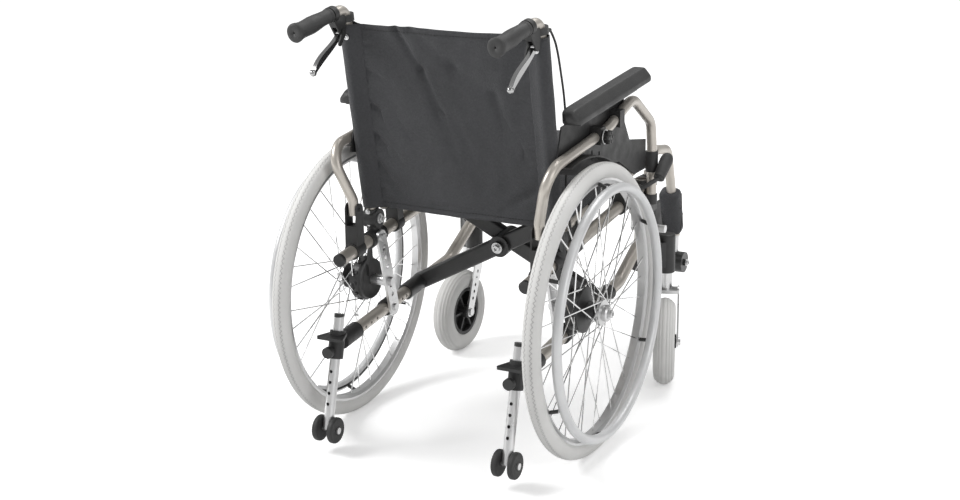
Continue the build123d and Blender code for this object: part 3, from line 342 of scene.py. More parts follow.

# %% [markdown]
# ## Cloth and foam skins
# Nylon canvas is a plain weave: two sets of threads that cross over and under. Two sine patterns
# at right angles give its relief, and a slow cloud breaks up the colour as dust and rubbing do.
# The arm pads have the pebbled skin of moulded foam, which Voronoi cells give, with painted shade
# in the hollows between the pebbles.


# %% Soft finishes
def weave_finish(name, colour, shade, thread):
    """Woven nylon with threads that far apart, in metres."""
    material, shader, place = new_finish(name)
    parts = add_node(material, "SeparateXYZ", {"Vector": place}).outputs
    rate = 2 * pi / thread
    warp = maths(material, "SINE", maths(material, "MULTIPLY", parts[0], rate))
    rise = maths(material, "ADD", parts[1], parts[2])
    weft = maths(material, "SINE", maths(material, "MULTIPLY", rise, rate))
    woven = maths(material, "MULTIPLY", warp, weft)
    slubs = cloud(material, place, 260.0, 4.0)
    dusty = spread(material, cloud(material, place, 5.5, 7.0), 0.0, 1.0)
    look = mixed(material, dusty, colour, shade)
    look = mixed(material, spread(material, woven, 0.0, 0.28, -1, 1), look, grey(0.012))
    height = maths(material, "MULTIPLY_ADD", slubs, 1.4, woven)
    gloss = spread(material, slubs, 0.62, 0.84)
    set_shader(
        material, shader, Base_Color=look, Roughness=gloss, Sheen_Weight=0.22,
        Sheen_Roughness=0.45, Sheen_Tint=grey(0.6),
    )
    add_relief(material, shader, height, 0.00016, 0.8)
    return material


def foam_finish(name):
    """Pebbled skin of moulded foam, with painted shade in the hollows between the pebbles."""
    material, shader, place = new_finish(name)
    cells = add_node(
        material, "TexVoronoi", {"Vector": place, "Scale": 620.0}, feature="SMOOTH_F1"
    ).outputs["Distance"]
    pits = cloud(material, place, 1500, 2.0)
    worn = spread(material, cloud(material, place, 22.0, 5.0), 0.0, 1.0)
    look = mixed(material, worn, grey(0.040), grey(0.030))
    # The hollows between the pebbles are painted darker: painted shade.
    look = mixed(material, spread(material, cells, 0, 0.3, 0, 0.7), look, grey(0.02))
    set_shader(
        material, shader, Base_Color=look, Roughness=spread(material, worn, 0.44, 0.56, 0, 1)
    )
    height = maths(material, "MULTIPLY_ADD", pits, 0.3, maths(material, "SUBTRACT", 1.0, cells))
    add_relief(material, shader, height, 0.00022)
    return material


finishes["black_fabric"] = weave_finish(
    "woven_nylon", (0.056, 0.057, 0.062, 1), (0.046, 0.047, 0.051, 1), 0.0011
)
finishes["arm_foam"] = foam_finish("moulded_foam")
piping_finish = hard_finish(
    "piping_cord", grey(0.028), grey(0.020), (0.6, 0.75), (1500, 0.0001)
)
thread_finish = hard_finish(
    "sewing_thread", grey(0.020), grey(0.014), (0.6, 0.8), (2500, 0.00005)
)

# %% [markdown]
# ## Pieces of more than one material
# The legrest's tube ends in a bright inner tube and a black hub, and the anti-tip tube wears a
# black cap. Those are single CAD nodes, so their finish changes with the height over the floor.


# %% Finishes that change with height
def banded_finish(name, bands, roughness):
    """Material with a colour and metallic value up to each height, lowest band first."""
    material, shader, place = new_finish(name)
    height = add_node(material, "SeparateXYZ", {"Vector": place}).outputs[2]
    look, shine = bands[0][1], bands[0][2]
    for (top, *_), (_, colour, metallic) in zip(bands, bands[1:]):
        over = maths(material, "GREATER_THAN", height, top)
        look = mixed(material, over, look, colour)
        if isinstance(shine, float):
            shine = maths(material, "MULTIPLY_ADD", over, metallic - shine, shine)
        else:
            shine = mixed(material, over, shine, grey(metallic))
    tone = spread(material, cloud(material, place, 14.0), 0.84, 1.0)
    look = mixed(material, tone, grey(0.02), look)
    gloss = spread(material, cloud(material, place, 40.0, 6.0), *roughness)
    set_shader(material, shader, Base_Color=look, Metallic=shine, Roughness=gloss)
    add_relief(material, shader, cloud(material, place, 1300, 2.0), 0.00005)
    return material


hanger_finish = banded_finish(
    "hanger_bands",
    ((0.2355, grey(0.030), 0.0), (0.2770, grey(0.66), 0.95), (9, (0.58, 0.545, 0.495, 1), 0.6)),
    (0.30, 0.44),
)
antitip_finish = banded_finish(
    "antitip_bands", ((0.2812, grey(0.70), 0.9), (9, grey(0.035), 0.0)), (0.26, 0.40)
)
lever_finish = hard_finish(
    "polished_lever", grey(0.42), grey(0.34), (0.12, 0.24), (900, 0.00003), metallic=1.0,
    worn=grey(0.75),
)

# %% [markdown]
# ## Finishes on the CAD nodes
# Each CAD node came in with a plain material named after its slot, so one loop swaps them all.
# Rims, hubs, rear tyres, hangers, anti-tip tubes and hand levers take finishes of their own.

# %% Put the finishes on
for name, node in nodes.items():
    slot = node.data.materials[0].name.split(".")[0]
    if slot in finishes:
        node.data.materials[0] = finishes[slot]
for side in sides:
    nodes[side + "_wheel_rim"].data.materials[0] = rim_finish
    nodes[side + "_wheel_hub"].data.materials[0] = hub_finish
    nodes[side + "_rear_tyre"].data.materials[0] = rear_tyre_finish[side]
    nodes[side + "_legrest_hanger"].data.materials[0] = hanger_finish
    nodes[side + "_antitip_tube"].data.materials[0] = antitip_finish
    nodes[side + "_hand_lever"].data.materials[0] = lever_finish
print("finished", len(nodes), "CAD nodes")


# %% [markdown]
# ## Making a piece
# Every new piece is a bmesh that becomes one object at the origin. The next helpers close that
# step, draw the outlines, rings and round lines that the pieces start from, add the bolts that
# hold the chair together, and sew stitches along a seam.


# %% Helpers for pieces
def add_piece(name, mesh, body, slot, material=None, smooth=True):
    """Links a finished bmesh as an object that rides on a CAD body."""
    data = bpy.data.meshes.new(name)
    bmesh.ops.recalc_face_normals(mesh, faces=mesh.faces)
    mesh.to_mesh(data)
    mesh.free()
    data.polygons.foreach_set("use_smooth", [smooth] * len(data.polygons))
    piece = show(bpy.data.objects.new(name, data))
    data.materials.append(material or finishes[slot])
    if body:
        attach(piece, body)
    return piece


def turned_to(direction):
    """Matrix that turns +Z to a direction."""
    return Vector(direction).to_track_quat("Z", "Y").to_matrix().to_4x4()


def add_bolt(target, place, direction, radius, sides_of_head=20):
    """Adds a bolt head with a sunk socket, on a washer, to a mesh."""
    mesh = bmesh.new()
    for width, low, high, segments in ((1.4, 0.0, 0.25, 24), (1.0, 0.2, 0.95, sides_of_head)):
        bmesh.ops.create_cone(
            mesh, cap_ends=True, segments=segments, radius1=radius * width,
            radius2=radius * width, depth=(high - low) * radius,
            matrix=Matrix.Translation((0, 0, (low + high) / 2 * radius)),
        )
    top = max(mesh.faces, key=lambda face: face.calc_center_median().z)
    bmesh.ops.bevel(
        mesh, geom=top.edges[:], offset=radius * 0.14, segments=2, profile=0.5,
        affect="EDGES", material=-1,
    )
    top = max(mesh.faces, key=lambda face: face.calc_center_median().z)
    bmesh.ops.inset_region(mesh, faces=[top], thickness=radius * 0.35)
    bmesh.ops.inset_region(mesh, faces=[top], thickness=radius * 0.02, depth=-radius * 0.45)
    at = Matrix.Translation(place) @ turned_to(direction)
    bmesh.ops.transform(mesh, matrix=at, verts=mesh.verts)
    data = bpy.data.meshes.new("bolt")
    mesh.to_mesh(data)
    mesh.free()
    target.from_mesh(data)
    bpy.data.meshes.remove(data)


def placed(across, along, out, origin):
    """Matrix that puts the three axes on the given directions, at an origin."""
    place = Matrix.Identity(4)
    for column, axis in enumerate((across, along, out)):
        place.col[column][:3] = axis
    place.translation = origin
    return place


def add_disc(mesh, place, facing, radii, depth, segments):
    """Adds a short cone with a radius at its foot and one at its top."""
    bmesh.ops.create_cone(
        mesh, cap_ends=True, segments=segments, radius1=radii[0], radius2=radii[1], depth=depth,
        matrix=Matrix.Translation(place) @ facing,
    )


def add_outline(mesh, points):
    """Joins points by a closed line of edges."""
    ring = [mesh.verts.new(point) for point in points]
    for first, second in zip(ring, ring[1:] + ring[:1]):
        mesh.edges.new((first, second))


def spin_round(mesh, centre, axis, steps):
    """Spins the mesh's outline a full turn."""
    bmesh.ops.spin(
        mesh, geom=mesh.verts[:] + mesh.edges[:], cent=centre, axis=axis, angle=2 * pi,
        steps=steps, use_merge=True, use_duplicate=False,
    )


def thicken(piece, name, thickness, offset):
    """Gives a skin its wall."""
    wall = piece.modifiers.new(name, "SOLIDIFY")
    wall.thickness, wall.offset = thickness, offset


def subdivide(piece, levels=1):
    """Subdivision, the same in the viewport and the render."""
    finer = piece.modifiers.new("smooth", "SUBSURF")
    finer.levels = finer.render_levels = levels


def bell(distance, width):
    """Falls from 1 to 0 away from a line."""
    return 2.718 ** (-((distance / width) ** 2))


def extrude_rings(mesh, centre, steps):
    """Extrudes the mesh's one ring through steps of (shift, growth), scaling about its centre."""
    edges = mesh.edges[:]
    for shift, growth in steps:
        grown = bmesh.ops.extrude_edge_only(mesh, edges=edges)["geom"]
        verts = [item for item in grown if isinstance(item, bmesh.types.BMVert)]
        edges = [item for item in grown if isinstance(item, bmesh.types.BMEdge)]
        bmesh.ops.scale(
            mesh, vec=(growth,) * 3, verts=verts, space=Matrix.Translation(-centre)
        )
        bmesh.ops.translate(mesh, vec=shift, verts=verts)
        centre = centre + shift


def stepped_tube(start, run, length, stations, segments):
    """Tube along a direction, through stations of (share of the length, radius)."""
    mesh = bmesh.new()
    bmesh.ops.create_circle(
        mesh, radius=stations[0][1], segments=segments,
        matrix=Matrix.Translation(start) @ turned_to(run),
    )
    extrude_rings(mesh, start, [
        (run * length * (after[0] - before[0]), after[1] / before[1])
        for before, after in zip(stations, stations[1:])
    ])
    return mesh


stitch_length, stitch_gap, stitch_radius = 0.0045, 0.0025, 0.0005


def sew(name, points, body):
    """Row of small stitches along a line of points."""
    mesh = bmesh.new()
    carried = 0.0
    for start, end in zip(points, points[1:]):
        run = Vector(end) - Vector(start)
        facing = turned_to(run)
        while carried < run.length:
            place = Vector(start) + run.normalized() * carried
            add_disc(mesh, place, facing, (stitch_radius, stitch_radius), stitch_length, 6)
            carried += stitch_length + stitch_gap
        carried -= run.length
    return add_piece(name, mesh, body, "black_fabric", thread_finish)


def round_curve(name, points, radius, fineness, closed=False):
    """Smooth round NURBS curve through points."""
    curve = bpy.data.curves.new(name, "CURVE")
    curve.dimensions = "3D"
    line = curve.splines.new("NURBS")
    line.points.add(len(points) - 1)
    for knot, place in zip(line.points, points):
        knot.co = (*place, 1)
    line.order_u = 3
    line.use_endpoint_u, line.use_cyclic_u = not closed, closed
    curve.resolution_u = 12
    curve.bevel_depth, curve.bevel_resolution = radius, fineness
    curve.use_fill_caps = not closed
    return curve


def add_round_line(name, points, radius, body, material, closed=False):
    """Piping or thread through points, as a mesh."""
    curve = round_curve(name, points, radius, 2, closed)
    drawn = bpy.data.objects.new(name + "_line", curve)
    mesh = bmesh.new()
    mesh.from_mesh(bpy.data.meshes.new_from_object(drawn))
    bpy.data.objects.remove(drawn)
    return add_piece(name, mesh, body, "black_fabric", material)


# %% [markdown]
# ## Where the back and the seat lie
# The canvas hangs between two reclined canes, and the seat lies on two rails that rise to the
# front. Both are flat places in space, so each gets one function that turns a distance across,
# a distance along and a distance out of the cloth into a point.

# %% Planes of the back and the seat
cane_x = 0.216
cane_low, cane_high = Vector((cane_x, -0.256, 0.434)), Vector((cane_x, -0.338, 0.908))
recline = (cane_high - cane_low).normalized()
rearward = Vector((0, -recline.z, recline.y))
tilt = radians(6)
seat_along = Vector((0, cos(tilt), sin(tilt)))
seat_up = Vector((0, -sin(tilt), cos(tilt)))
rail_middle = Vector((0, -0.014, 0.472 + 0.217 * tan(tilt)))


def on_back(across, height, out=0.0):
    """Point of the back's plane at a height over the floor, out towards the rear."""
    along = (height - cane_low.z) / recline.z
    centre = Vector((across, cane_low.y, cane_low.z))
    return centre + recline * along + rearward * out


def on_seat(across, along, height):
    """Point over the seat rails, along them from the seat's middle."""
    return rail_middle + Vector((across, 0, 0)) + seat_along * along + seat_up * height


# %% [markdown]
# ## Back canvas
# One sheet of heavy nylon is pulled tight between the canes, with a sewn tube at each side that
# slides over its cane. It is a fine grid, moved a few millimetres out of its plane: a slight
# belly, slow ripples, and the long creases that a chair keeps from being folded. Solidify then
# gives it the thickness of cloth.

# %% Back canvas
canvas_low, canvas_high = 0.480, 0.877
canvas_half = 0.192
creases = (
    # across, height of one end; across, height of the other; half width; depth
    (-0.105, 0.872, -0.055, 0.790, 0.0080, 0.0060),
    (-0.055, 0.790, -0.020, 0.700, 0.0100, 0.0052),
    (-0.020, 0.700, 0.015, 0.600, 0.0130, 0.0034),
    (-0.070, 0.872, 0.020, 0.800, 0.0120, 0.0036),
    (0.020, 0.800, 0.110, 0.745, 0.0140, 0.0036),
    (0.105, 0.750, 0.130, 0.660, 0.0110, 0.0038),
    (0.130, 0.660, 0.170, 0.610, 0.0100, 0.0030),
    (-0.184, 0.705, -0.090, 0.645, 0.0090, 0.0050),
    (-0.090, 0.645, -0.020, 0.622, 0.0120, 0.0028),
    (-0.184, 0.640, -0.120, 0.575, 0.0090, 0.0044),
    (-0.184, 0.575, -0.135, 0.515, 0.0100, 0.0040),
    (-0.184, 0.780, -0.130, 0.755, 0.0080, 0.0032),
    (0.184, 0.560, 0.100, 0.505, 0.0100, 0.0034),
    (0.184, 0.800, 0.120, 0.812, 0.0090, 0.0034),
    (-0.060, 0.500, 0.090, 0.488, 0.0080, 0.0022),
    (0.010, 0.690, 0.060, 0.560, 0.0160, 0.0026),
)


def crease_depth(across, height):
    """How far the creases draw the cloth in at a point."""
    depth = 0.0
    for x1, z1, x2, z2, width, deep in creases:
        start, run = Vector((x1, z1)), Vector((x2 - x1, z2 - z1))
        along = (Vector((across, height)) - start).dot(run) / run.length_squared
        along = min(max(along, 0.0), 1.0)
        off = (Vector((across, height)) - start - run * along).length
        fade = 1 - 0.6 * along
        depth += deep * fade * bell(off, width)
    return depth


def canvas_out(across, height):
    """How far the canvas stands out to the rear of the canes' plane."""
    share = across / canvas_half
    belly = 0.0035 * (1 - share * share)
    free = min(1.0, (canvas_half - abs(across)) / 0.014)
    ripple = 0.0052 * noise.noise(Vector((across * 9, height * 5.5, 2.5)))
    ripple += 0.0016 * noise.noise(Vector((across * 34, height * 26, 7.5)))
    pucker = 0.0012 * sin(height * 260 + 2 * sin(height * 61)) * abs(share) ** 9
    return belly + pucker + (ripple - 1.35 * crease_depth(across, height)) * free


def cloth_sheet(name, columns, rows, place_at):
    """Grid of cloth whose points are put in place by a function of two shares from 0 to 1."""
    mesh = bmesh.new()
    bmesh.ops.create_grid(mesh, x_segments=columns, y_segments=rows, size=0.5)
    for vert in mesh.verts:
        vert.co = place_at(vert.co.x + 0.5, vert.co.y + 0.5)
    piece = add_piece(name, mesh, None, "black_fabric")
    thicken(piece, "cloth thickness", 0.0016, 0.0)
    return piece


def canvas_point(share_across, share_up):
    """Point of the canvas, whose edges sag a little."""
    across = (2 * share_across - 1) * canvas_half
    height = canvas_low + share_up * (canvas_high - canvas_low)
    sag = 0.0016 * noise.noise(Vector((across * 8, 0, 9))) * share_up
    return on_back(across, height + sag, canvas_out(across, height))


canvas = cloth_sheet("back_canvas", 130, 130, canvas_point)
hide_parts("back_upholstery")
canvas_length = (canvas_high - canvas_low) / recline.z
print("canvas", round(2 * canvas_half, 3), "by", round(canvas_length, 3))

# %% [markdown]
# ## Sleeves of the canvas
# Where the cloth wraps a cane it is a tube that closes in a flat seam. A circle whose inner side
# is drawn out to a tail has that shape, and it is extruded up the cane ring by ring, with small
# random tucks. Each sleeve rides on its own side frame, so it stays on its cane in the fold.

# %% Sleeves and their seams
sleeve_radius, sleeve_tail, sleeve_rings = 0.0152, 0.0150, 60
seam_x, seam_lift, seam_steps = 0.1905, 0.0024, 24


def make_sleeve(side, hand):
    """Tube of cloth round one cane, with its tail towards the canvas."""
    mesh = bmesh.new()
    ring = bmesh.ops.create_circle(mesh, radius=sleeve_radius, segments=48)["verts"]
    for vert in ring:
        reach = max(vert.co.x / sleeve_radius, 0.0)
        inward = vert.co.x + sleeve_tail * reach**4
        outward = vert.co.y * (1 - 0.78 * reach**3)
        vert.co = on_back(hand * (cane_x - inward), canvas_low, outward)
    step = recline * (canvas_length / sleeve_rings)
    extrude_rings(mesh, Vector((0, 0, 0)), [(step, 1)] * sleeve_rings)
    for vert in mesh.verts:
        vert.co += rearward * 0.0012 * noise.noise(vert.co * 22)
    piece = add_piece(side + "_back_sleeve", mesh, side + "_frame", "black_fabric")
    thicken(piece, "cloth thickness", 0.0014, 1.0)
    return piece


for side, hand in sides.items():
    print("sleeve", make_sleeve(side, hand).name)
    for out, way in ((seam_lift, "rear"), (-seam_lift, "front")):
        line = [
            on_back(
                hand * seam_x,
                canvas_low + step * (canvas_high - canvas_low) / seam_steps,
                out,
            )
            for step in range(seam_steps + 1)
        ]
        sew(f"{side}_sleeve_seam_{way}", line, side + "_frame")

# %% Hems along the canvas's top and bottom
hem_lift, hem_inset = 0.0012, 0.006
hem_rows = []
for name, height in (("top", canvas_high - 0.011), ("bottom", canvas_low + 0.012)):
    for out, way in ((hem_lift, "rear"), (-hem_lift, "front")):
        line = []
        for step in range(41):
            across = (step / 20 - 1) * (canvas_half - hem_inset)
            line.append(on_back(across, height, canvas_out(across, height) + out))
        hem_rows.append(sew(f"canvas_hem_{name}_{way}", line, None))

# %% [markdown]
# ## Swelling a cushion
# A stuffed cover is a flat pocket that its filling blows up, so the honest way to its shape is
# the same: a rounded block is remeshed to even squares and swollen by Blender's cloth, with
# gravity off. A cap on how far a point may move keeps it in its place on the chair.


# %% Swelling by cloth simulation
swelling_frames = 20


def soft_block(size, corner, place):
    """Rounded block of a size, in a place given by a matrix."""
    mesh = bmesh.new()
    bmesh.ops.create_cube(mesh, size=1)
    bmesh.ops.scale(mesh, vec=size, verts=mesh.verts)
    bmesh.ops.bevel(
        mesh, geom=mesh.edges[:], offset=corner, segments=3, profile=0.5, affect="EDGES",
        material=-1,
    )
    bmesh.ops.transform(mesh, matrix=place, verts=mesh.verts)
    return mesh


def take_evaluated(piece):
    """Replaces a piece's mesh by what its modifiers make of it, and drops them."""
    depsgraph = bpy.context.evaluated_depsgraph_get()
    made = bpy.data.meshes.new_from_object(piece.evaluated_get(depsgraph))
    piece.modifiers.clear()
    piece.data = made


def swell(piece, voxel, pressure, cap):
    """Blows a piece up as a stuffed cover, moving no point further than cap."""
    even = piece.modifiers.new("even squares", "REMESH")
    even.mode, even.voxel_size, even.use_smooth_shade = "VOXEL", voxel, True
    take_evaluated(piece)
    rest = [vert.co.copy() for vert in piece.data.vertices]
    cloth = piece.modifiers.new("swelling", "CLOTH")
    cloth.settings.use_pressure = True
    cloth.settings.uniform_pressure_force = pressure
    cloth.settings.quality = 6
    cloth.settings.effector_weights.gravity = 0
    cloth.point_cache.frame_end = swelling_frames
    for moment in range(1, swelling_frames + 1):
        bpy.context.scene.frame_set(moment)
    take_evaluated(piece)
    for vert, was in zip(piece.data.vertices, rest):
        moved = vert.co - was
        if moved.length > cap:
            vert.co = was + moved.normalized() * cap
    bpy.context.scene.frame_set(1)


def on_surface(piece, points, off):
    """Points moved to the nearest place on a piece and off it by a distance."""
    snapped = []
    for point in points:
        _, place, normal, _ = piece.closest_point_on_mesh(point)
        snapped.append(place + normal * off)
    return snapped


# %% [markdown]
# ## Seat cushion and sling
# The sling is a flat sheet laid over both rails, and the cushion lies on it. Both span the two
# brace arms that cross when the chair folds.

# %% Seat cushion and sling
cushion_half, cushion_half_length, cushion_middle = 0.193, 0.2095, 0.0156 + 0.023
piping_reach, piping_height = 0.004, 0.054
seat_place = placed(Vector((1, 0, 0)), seat_along, seat_up, on_seat(0, 0, cushion_middle))
cushion = add_piece(
    "seat_cushion",
    soft_block((2 * cushion_half, 2 * cushion_half_length, 0.042), 0.012, seat_place),
    None, "black_fabric",
)
swell(cushion, 0.006, 3.5, 0.009)
subdivide(cushion)
cushion_loop = [
    on_seat(
        across * (cushion_half + piping_reach),
        along * (cushion_half_length + piping_reach),
        piping_height,
    )
    for across, along in (
        (-1, -0.8), (-1, 0), (-1, 0.8), (-0.99, 0.93), (-0.93, 0.99), (-0.8, 1), (0, 1),
        (0.8, 1), (0.93, 0.99), (0.99, 0.93), (1, 0.8), (1, 0), (1, -0.8), (0.99, -0.93),
        (0.93, -0.99), (0.8, -1), (0, -1), (-0.8, -1), (-0.93, -0.99), (-0.99, -0.93),
    )
]
cushion_piping = add_round_line(
    "seat_cushion_piping", on_surface(cushion, cushion_loop, 0.0006), 0.0022, None,
    piping_finish, closed=True,
)
sling_half, sling_half_length, sling_shift, sling_height = 0.2215, 0.211, 0.013, 0.0136


def sling_point(share_across, share_along):
    """Point of the sling, which dips very slightly."""
    across = (2 * share_across - 1) * sling_half
    along = (2 * share_along - 1) * sling_half_length
    dip = 0.0008 * noise.noise(Vector((across * 12, along * 12, 4)))
    return on_seat(across, along + sling_shift, sling_height + dip)


sling = cloth_sheet("seat_sling", 60, 60, sling_point)
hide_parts("seat_upholstery")
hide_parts("seat_upholstery")

# %% [markdown]
# ## Back pad
# In front of the canvas a stuffed pad supports the lower back. It is swollen like the cushion,
# then two upright channels are sewn into it as lines of thread that lie in the cloth.

# %% Back pad
pad_middle = 0.642
back_place = placed(Vector((-1, 0, 0)), recline, -rearward, on_back(0, pad_middle, -0.0245))
back_pad = add_piece(
    "back_pad", soft_block((0.366, 0.182, 0.034), 0.010, back_place), None, "black_fabric"
)
swell(back_pad, 0.0055, 3.5, 0.008)
channels = (-0.065, 0.065)
for vert in back_pad.data.vertices:
    nearest = min(abs(vert.co.x - channel) for channel in channels)
    front = (vert.co - on_back(0, vert.co.z, -0.02)).dot(-rearward)
    if front > 0:
        vert.co += rearward * 0.007 * bell(nearest, 0.009)
subdivide(back_pad)
pad_seams = [
    add_round_line(
        f"back_pad_channel_{number}",
        on_surface(back_pad, [on_back(x, 0.57 + 0.018 * step, -0.06) for step in range(9)], 0.0),
        0.0009, None, thread_finish,
    )
    for number, x in enumerate(channels, 1)
]
pad_rim = add_round_line(
    "back_pad_piping",
    on_surface(back_pad, [
        on_back(x * 0.188, pad_middle + z * 0.094, -0.030)
        for x, z in ((-1, -0.8), (-1, 0), (-1, 0.8), (-0.9, 1), (0, 1), (0.9, 1), (1, 0.8), (1, 0),
                     (1, -0.8), (0.9, -1), (0, -1), (-0.9, -1))
    ], 0.0004),
    0.0020, None, piping_finish, closed=True,
)

# %% [markdown]
# ## Arm pads
# Each arm pad is one moulding of firm foam: flat on top, chamfered on its outer side, round at
# the back and cut off at a slant in front. A six-sided section is extruded station by station,
# drawn in at both ends, and its long edges are beveled before one subdivision.

# %% Arm pads
pad_section = ((0.0, 0.0), (0.044, 0.0), (0.044, 0.0125), (0.029, 0.031), (0.004, 0.031),
               (0.0, 0.026))
pad_stations = (
    # distance from the back end; size of the section; drop of its middle
    (0.0000, 0.30, 0.0030), (0.0012, 0.52, 0.0026), (0.0040, 0.72, 0.0018),
    (0.0090, 0.88, 0.0008), (0.0170, 0.97, 0.0002), (0.0300, 1.00, 0.0000),
    (0.1300, 1.00, 0.0000), (0.2500, 1.00, 0.0000), (0.3550, 1.00, 0.0000),
    (0.3690, 0.985, 0.0003), (0.3745, 0.94, 0.0010), (0.3775, 0.86, 0.0018),
    (0.3785, 0.74, 0.0024),
)
pad_x, pad_half_width, pad_half_height = 0.255, 0.022, 0.0155
pad_back, pad_rise = Vector((0, -0.2875, 0.6965)), radians(4)
pad_forward = Vector((0, cos(pad_rise), sin(pad_rise)))
pad_upward = Vector((0, -sin(pad_rise), cos(pad_rise)))


def make_arm_pad(side, hand):
    """One foam arm pad, from its back end to its front."""
    def middle(along, drop):
        back = pad_back + Vector((hand * pad_x, 0, 0))
        return back + pad_forward * along + pad_upward * (pad_half_height - drop)

    mesh = bmesh.new()
    along, size, drop = pad_stations[0]
    centre = middle(along, drop)
    add_outline(mesh, [
        centre + Vector((hand * (x - pad_half_width), 0, 0)) * size
        + pad_upward * (z - pad_half_height) * size
        for x, z in pad_section
    ])
    steps = []
    for (along, size, drop), (next_along, next_size, next_drop) in zip(
            pad_stations, pad_stations[1:]):
        shift = middle(next_along, next_drop) - middle(along, drop)
        steps.append((shift, next_size / size))
    extrude_rings(mesh, centre, steps)
    bmesh.ops.holes_fill(mesh, edges=mesh.edges, sides=0)
    long_edges = [
        edge for edge in mesh.edges
        if abs((edge.verts[1].co - edge.verts[0].co).normalized().dot(pad_forward)) > 0.75
    ]
    bmesh.ops.bevel(
        mesh, geom=long_edges, offset=0.0030, segments=2, profile=0.5, affect="EDGES",
        material=-1,
    )
    piece = add_piece(side + "_arm_pad_foam", mesh, side + "_armrest", "arm_foam")
    subdivide(piece, 2)
    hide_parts(side + "_arm_pad")
    return piece


for side, hand in sides.items():
    arm_pad = make_arm_pad(side, hand)
    print(arm_pad.name, len(arm_pad.data.polygons), "faces")

# %% [markdown]
# ## Calf pads
# A calf pad is a stuffed sleeve of the same nylon that wraps the legrest's tube. It is swollen
# from a block that narrows towards its lower end, and two bowed seams cross its outer face.

# %% Calf pads
hanger_top, hanger_low = Vector((0.212, 0.355, 0.512)), Vector((0.197, 0.459, 0.276))
calf_half = 0.066
calf_seams = ((-0.050, -0.020, 0.018), (0.010, 0.050, -0.016))  # start, end, bow


def make_calf_pad(side, hand):
    """One calf pad on its hanger, with its two seams."""
    mirror = Vector((hand, 1, 1))
    top, low = hanger_top * mirror, hanger_low * mirror
    down = (low - top).normalized()
    sideways = (Vector((1, 0, 0)) - down * down.x).normalized()
    front = sideways.cross(-down)
    middle = top.lerp(low, 0.46) + down * calf_half - sideways * 0.004 * hand
    place = placed(sideways, -down, front, middle)
    mesh = soft_block((0.050, 0.126, 0.041), 0.012, place)
    for vert in mesh.verts:
        along = (vert.co - place.translation).dot(down) / calf_half
        out = vert.co - place.translation - down * along * calf_half
        vert.co -= out * 0.10 * max(along, 0)
    pad = add_piece(side + "_calf_cushion", mesh, side + "_legrest", "black_fabric")
    swell(pad, 0.004, 3.0, 0.004)
    subdivide(pad)
    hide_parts(side + "_calf_pad")
    for number, (start, end, bow) in enumerate(calf_seams, 1):
        line = []
        for step in range(13):
            share = step / 12
            across = (share - 0.5) * 0.046
            along = start + (end - start) * share + bow * sin(share * pi)
            line.append(
                place.translation + sideways * hand * 0.06 + down * along + front * across
            )
        add_round_line(
            f"{side}_calf_seam_{number}", on_surface(pad, line, 0.0003), 0.0009,
            side + "_legrest", thread_finish,
        )
    return pad


for side, hand in sides.items():
    calf_pad = make_calf_pad(side, hand)
    print(calf_pad.name, len(calf_pad.data.polygons), "faces")

# %% [markdown]
# ## Brake cables
# Each hand brake pulls a cable that leaves its ferrule, bows out in front of the cane and runs
# down to the arm of the drum's backplate. Its housing is springy, so one smooth NURBS curve
# through a few points has the right bends.

# %% Brake cables
cable_route = (
    (0.2246, -0.3096, 0.8854), (0.2256, -0.293, 0.868), (0.2286, -0.283, 0.838),
    (0.2286, -0.269, 0.796), (0.2286, -0.255, 0.752), (0.2286, -0.247, 0.704),
    (0.2286, -0.243, 0.652), (0.2286, -0.245, 0.598), (0.2306, -0.249, 0.546),
    (0.2376, -0.247, 0.494), (0.2406, -0.240, 0.446), (0.2400, -0.239, 0.408),
    (0.2370, -0.241, 0.3773),
)
cable_radius, cable_length = 0.00225, 0.523
for side, hand in sides.items():
    route = [(hand * x, y, z) for x, y, z in cable_route]
    curve = round_curve(side + "_brake_hose", route, cable_radius, 4)
    hose = show(bpy.data.objects.new(side + "_brake_hose", curve))
    curve.materials.append(finishes["black_rubber"])
    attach(hose, side + "_frame")
    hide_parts(side + "_brake_cable")
print("brake cables", cable_length, "m long")

# %% [markdown]
# ## Caster tyres
# The small front tyres are pale and ribbed: a few grooves run round them. Half of the section is
# drawn as a short outline, mirrored by its own symmetry, and spun a full turn round the axle.

# %% Caster tyres
caster_outline = (
    # half width, radius
    (0.0190, 0.0582), (0.0205, 0.0640), (0.0232, 0.0700), (0.0240, 0.0770), (0.0232, 0.0830),
    (0.0212, 0.0878), (0.0188, 0.0908), (0.0176, 0.0902), (0.0160, 0.0932), (0.0132, 0.0958),
    (0.0118, 0.0948), (0.0104, 0.0972), (0.0064, 0.0990), (0.0052, 0.0978), (0.0040, 0.0995),
    (0.0010, 0.0999),
)
for side in sides:
    centre = joints[side + "_caster_spin"]["pos_m"]
    axis = Vector(joints[side + "_caster_spin"]["axis"])
    mesh = bmesh.new()
    outline = [*caster_outline, *((-width, radius) for width, radius in caster_outline[::-1])]
    add_outline(mesh, [
        Vector(centre) + axis * width + Vector((0, 0, 1)) * radius for width, radius in outline
    ])
    spin_round(mesh, centre, axis, 96)
    material, shader, place = new_finish(side + "_caster_rubber")
    dust = spread(material, cloud(material, place, 14.0, 8.0), 0.0, 1.0)
    look = mixed(material, dust, (0.76, 0.755, 0.74, 1), (0.69, 0.685, 0.67, 1))
    set_shader(material, shader, Base_Color=look,
               Roughness=spread(material, cloud(material, place, 40), 0.52, 0.70))
    add_relief(material, shader, cloud(material, place, 700, 3.0), 0.0001)
    tyre = add_piece(side + "_caster_ribbed_tyre", mesh, side + "_caster_wheel", "grey_tyre",
                     material)
    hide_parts(side + "_caster_tyre")
    print(tyre.name, len(tyre.data.polygons), "faces")

# %% [markdown]
# ## Push grips
# The handles have moulded grips that fit the hand: a collar, a narrow neck, a swell under the
# palm and a flared end. A circle is extruded along the handle and grown or shrunk at each step,
# and the end face is inset and sunk for the small vent hole in its middle.

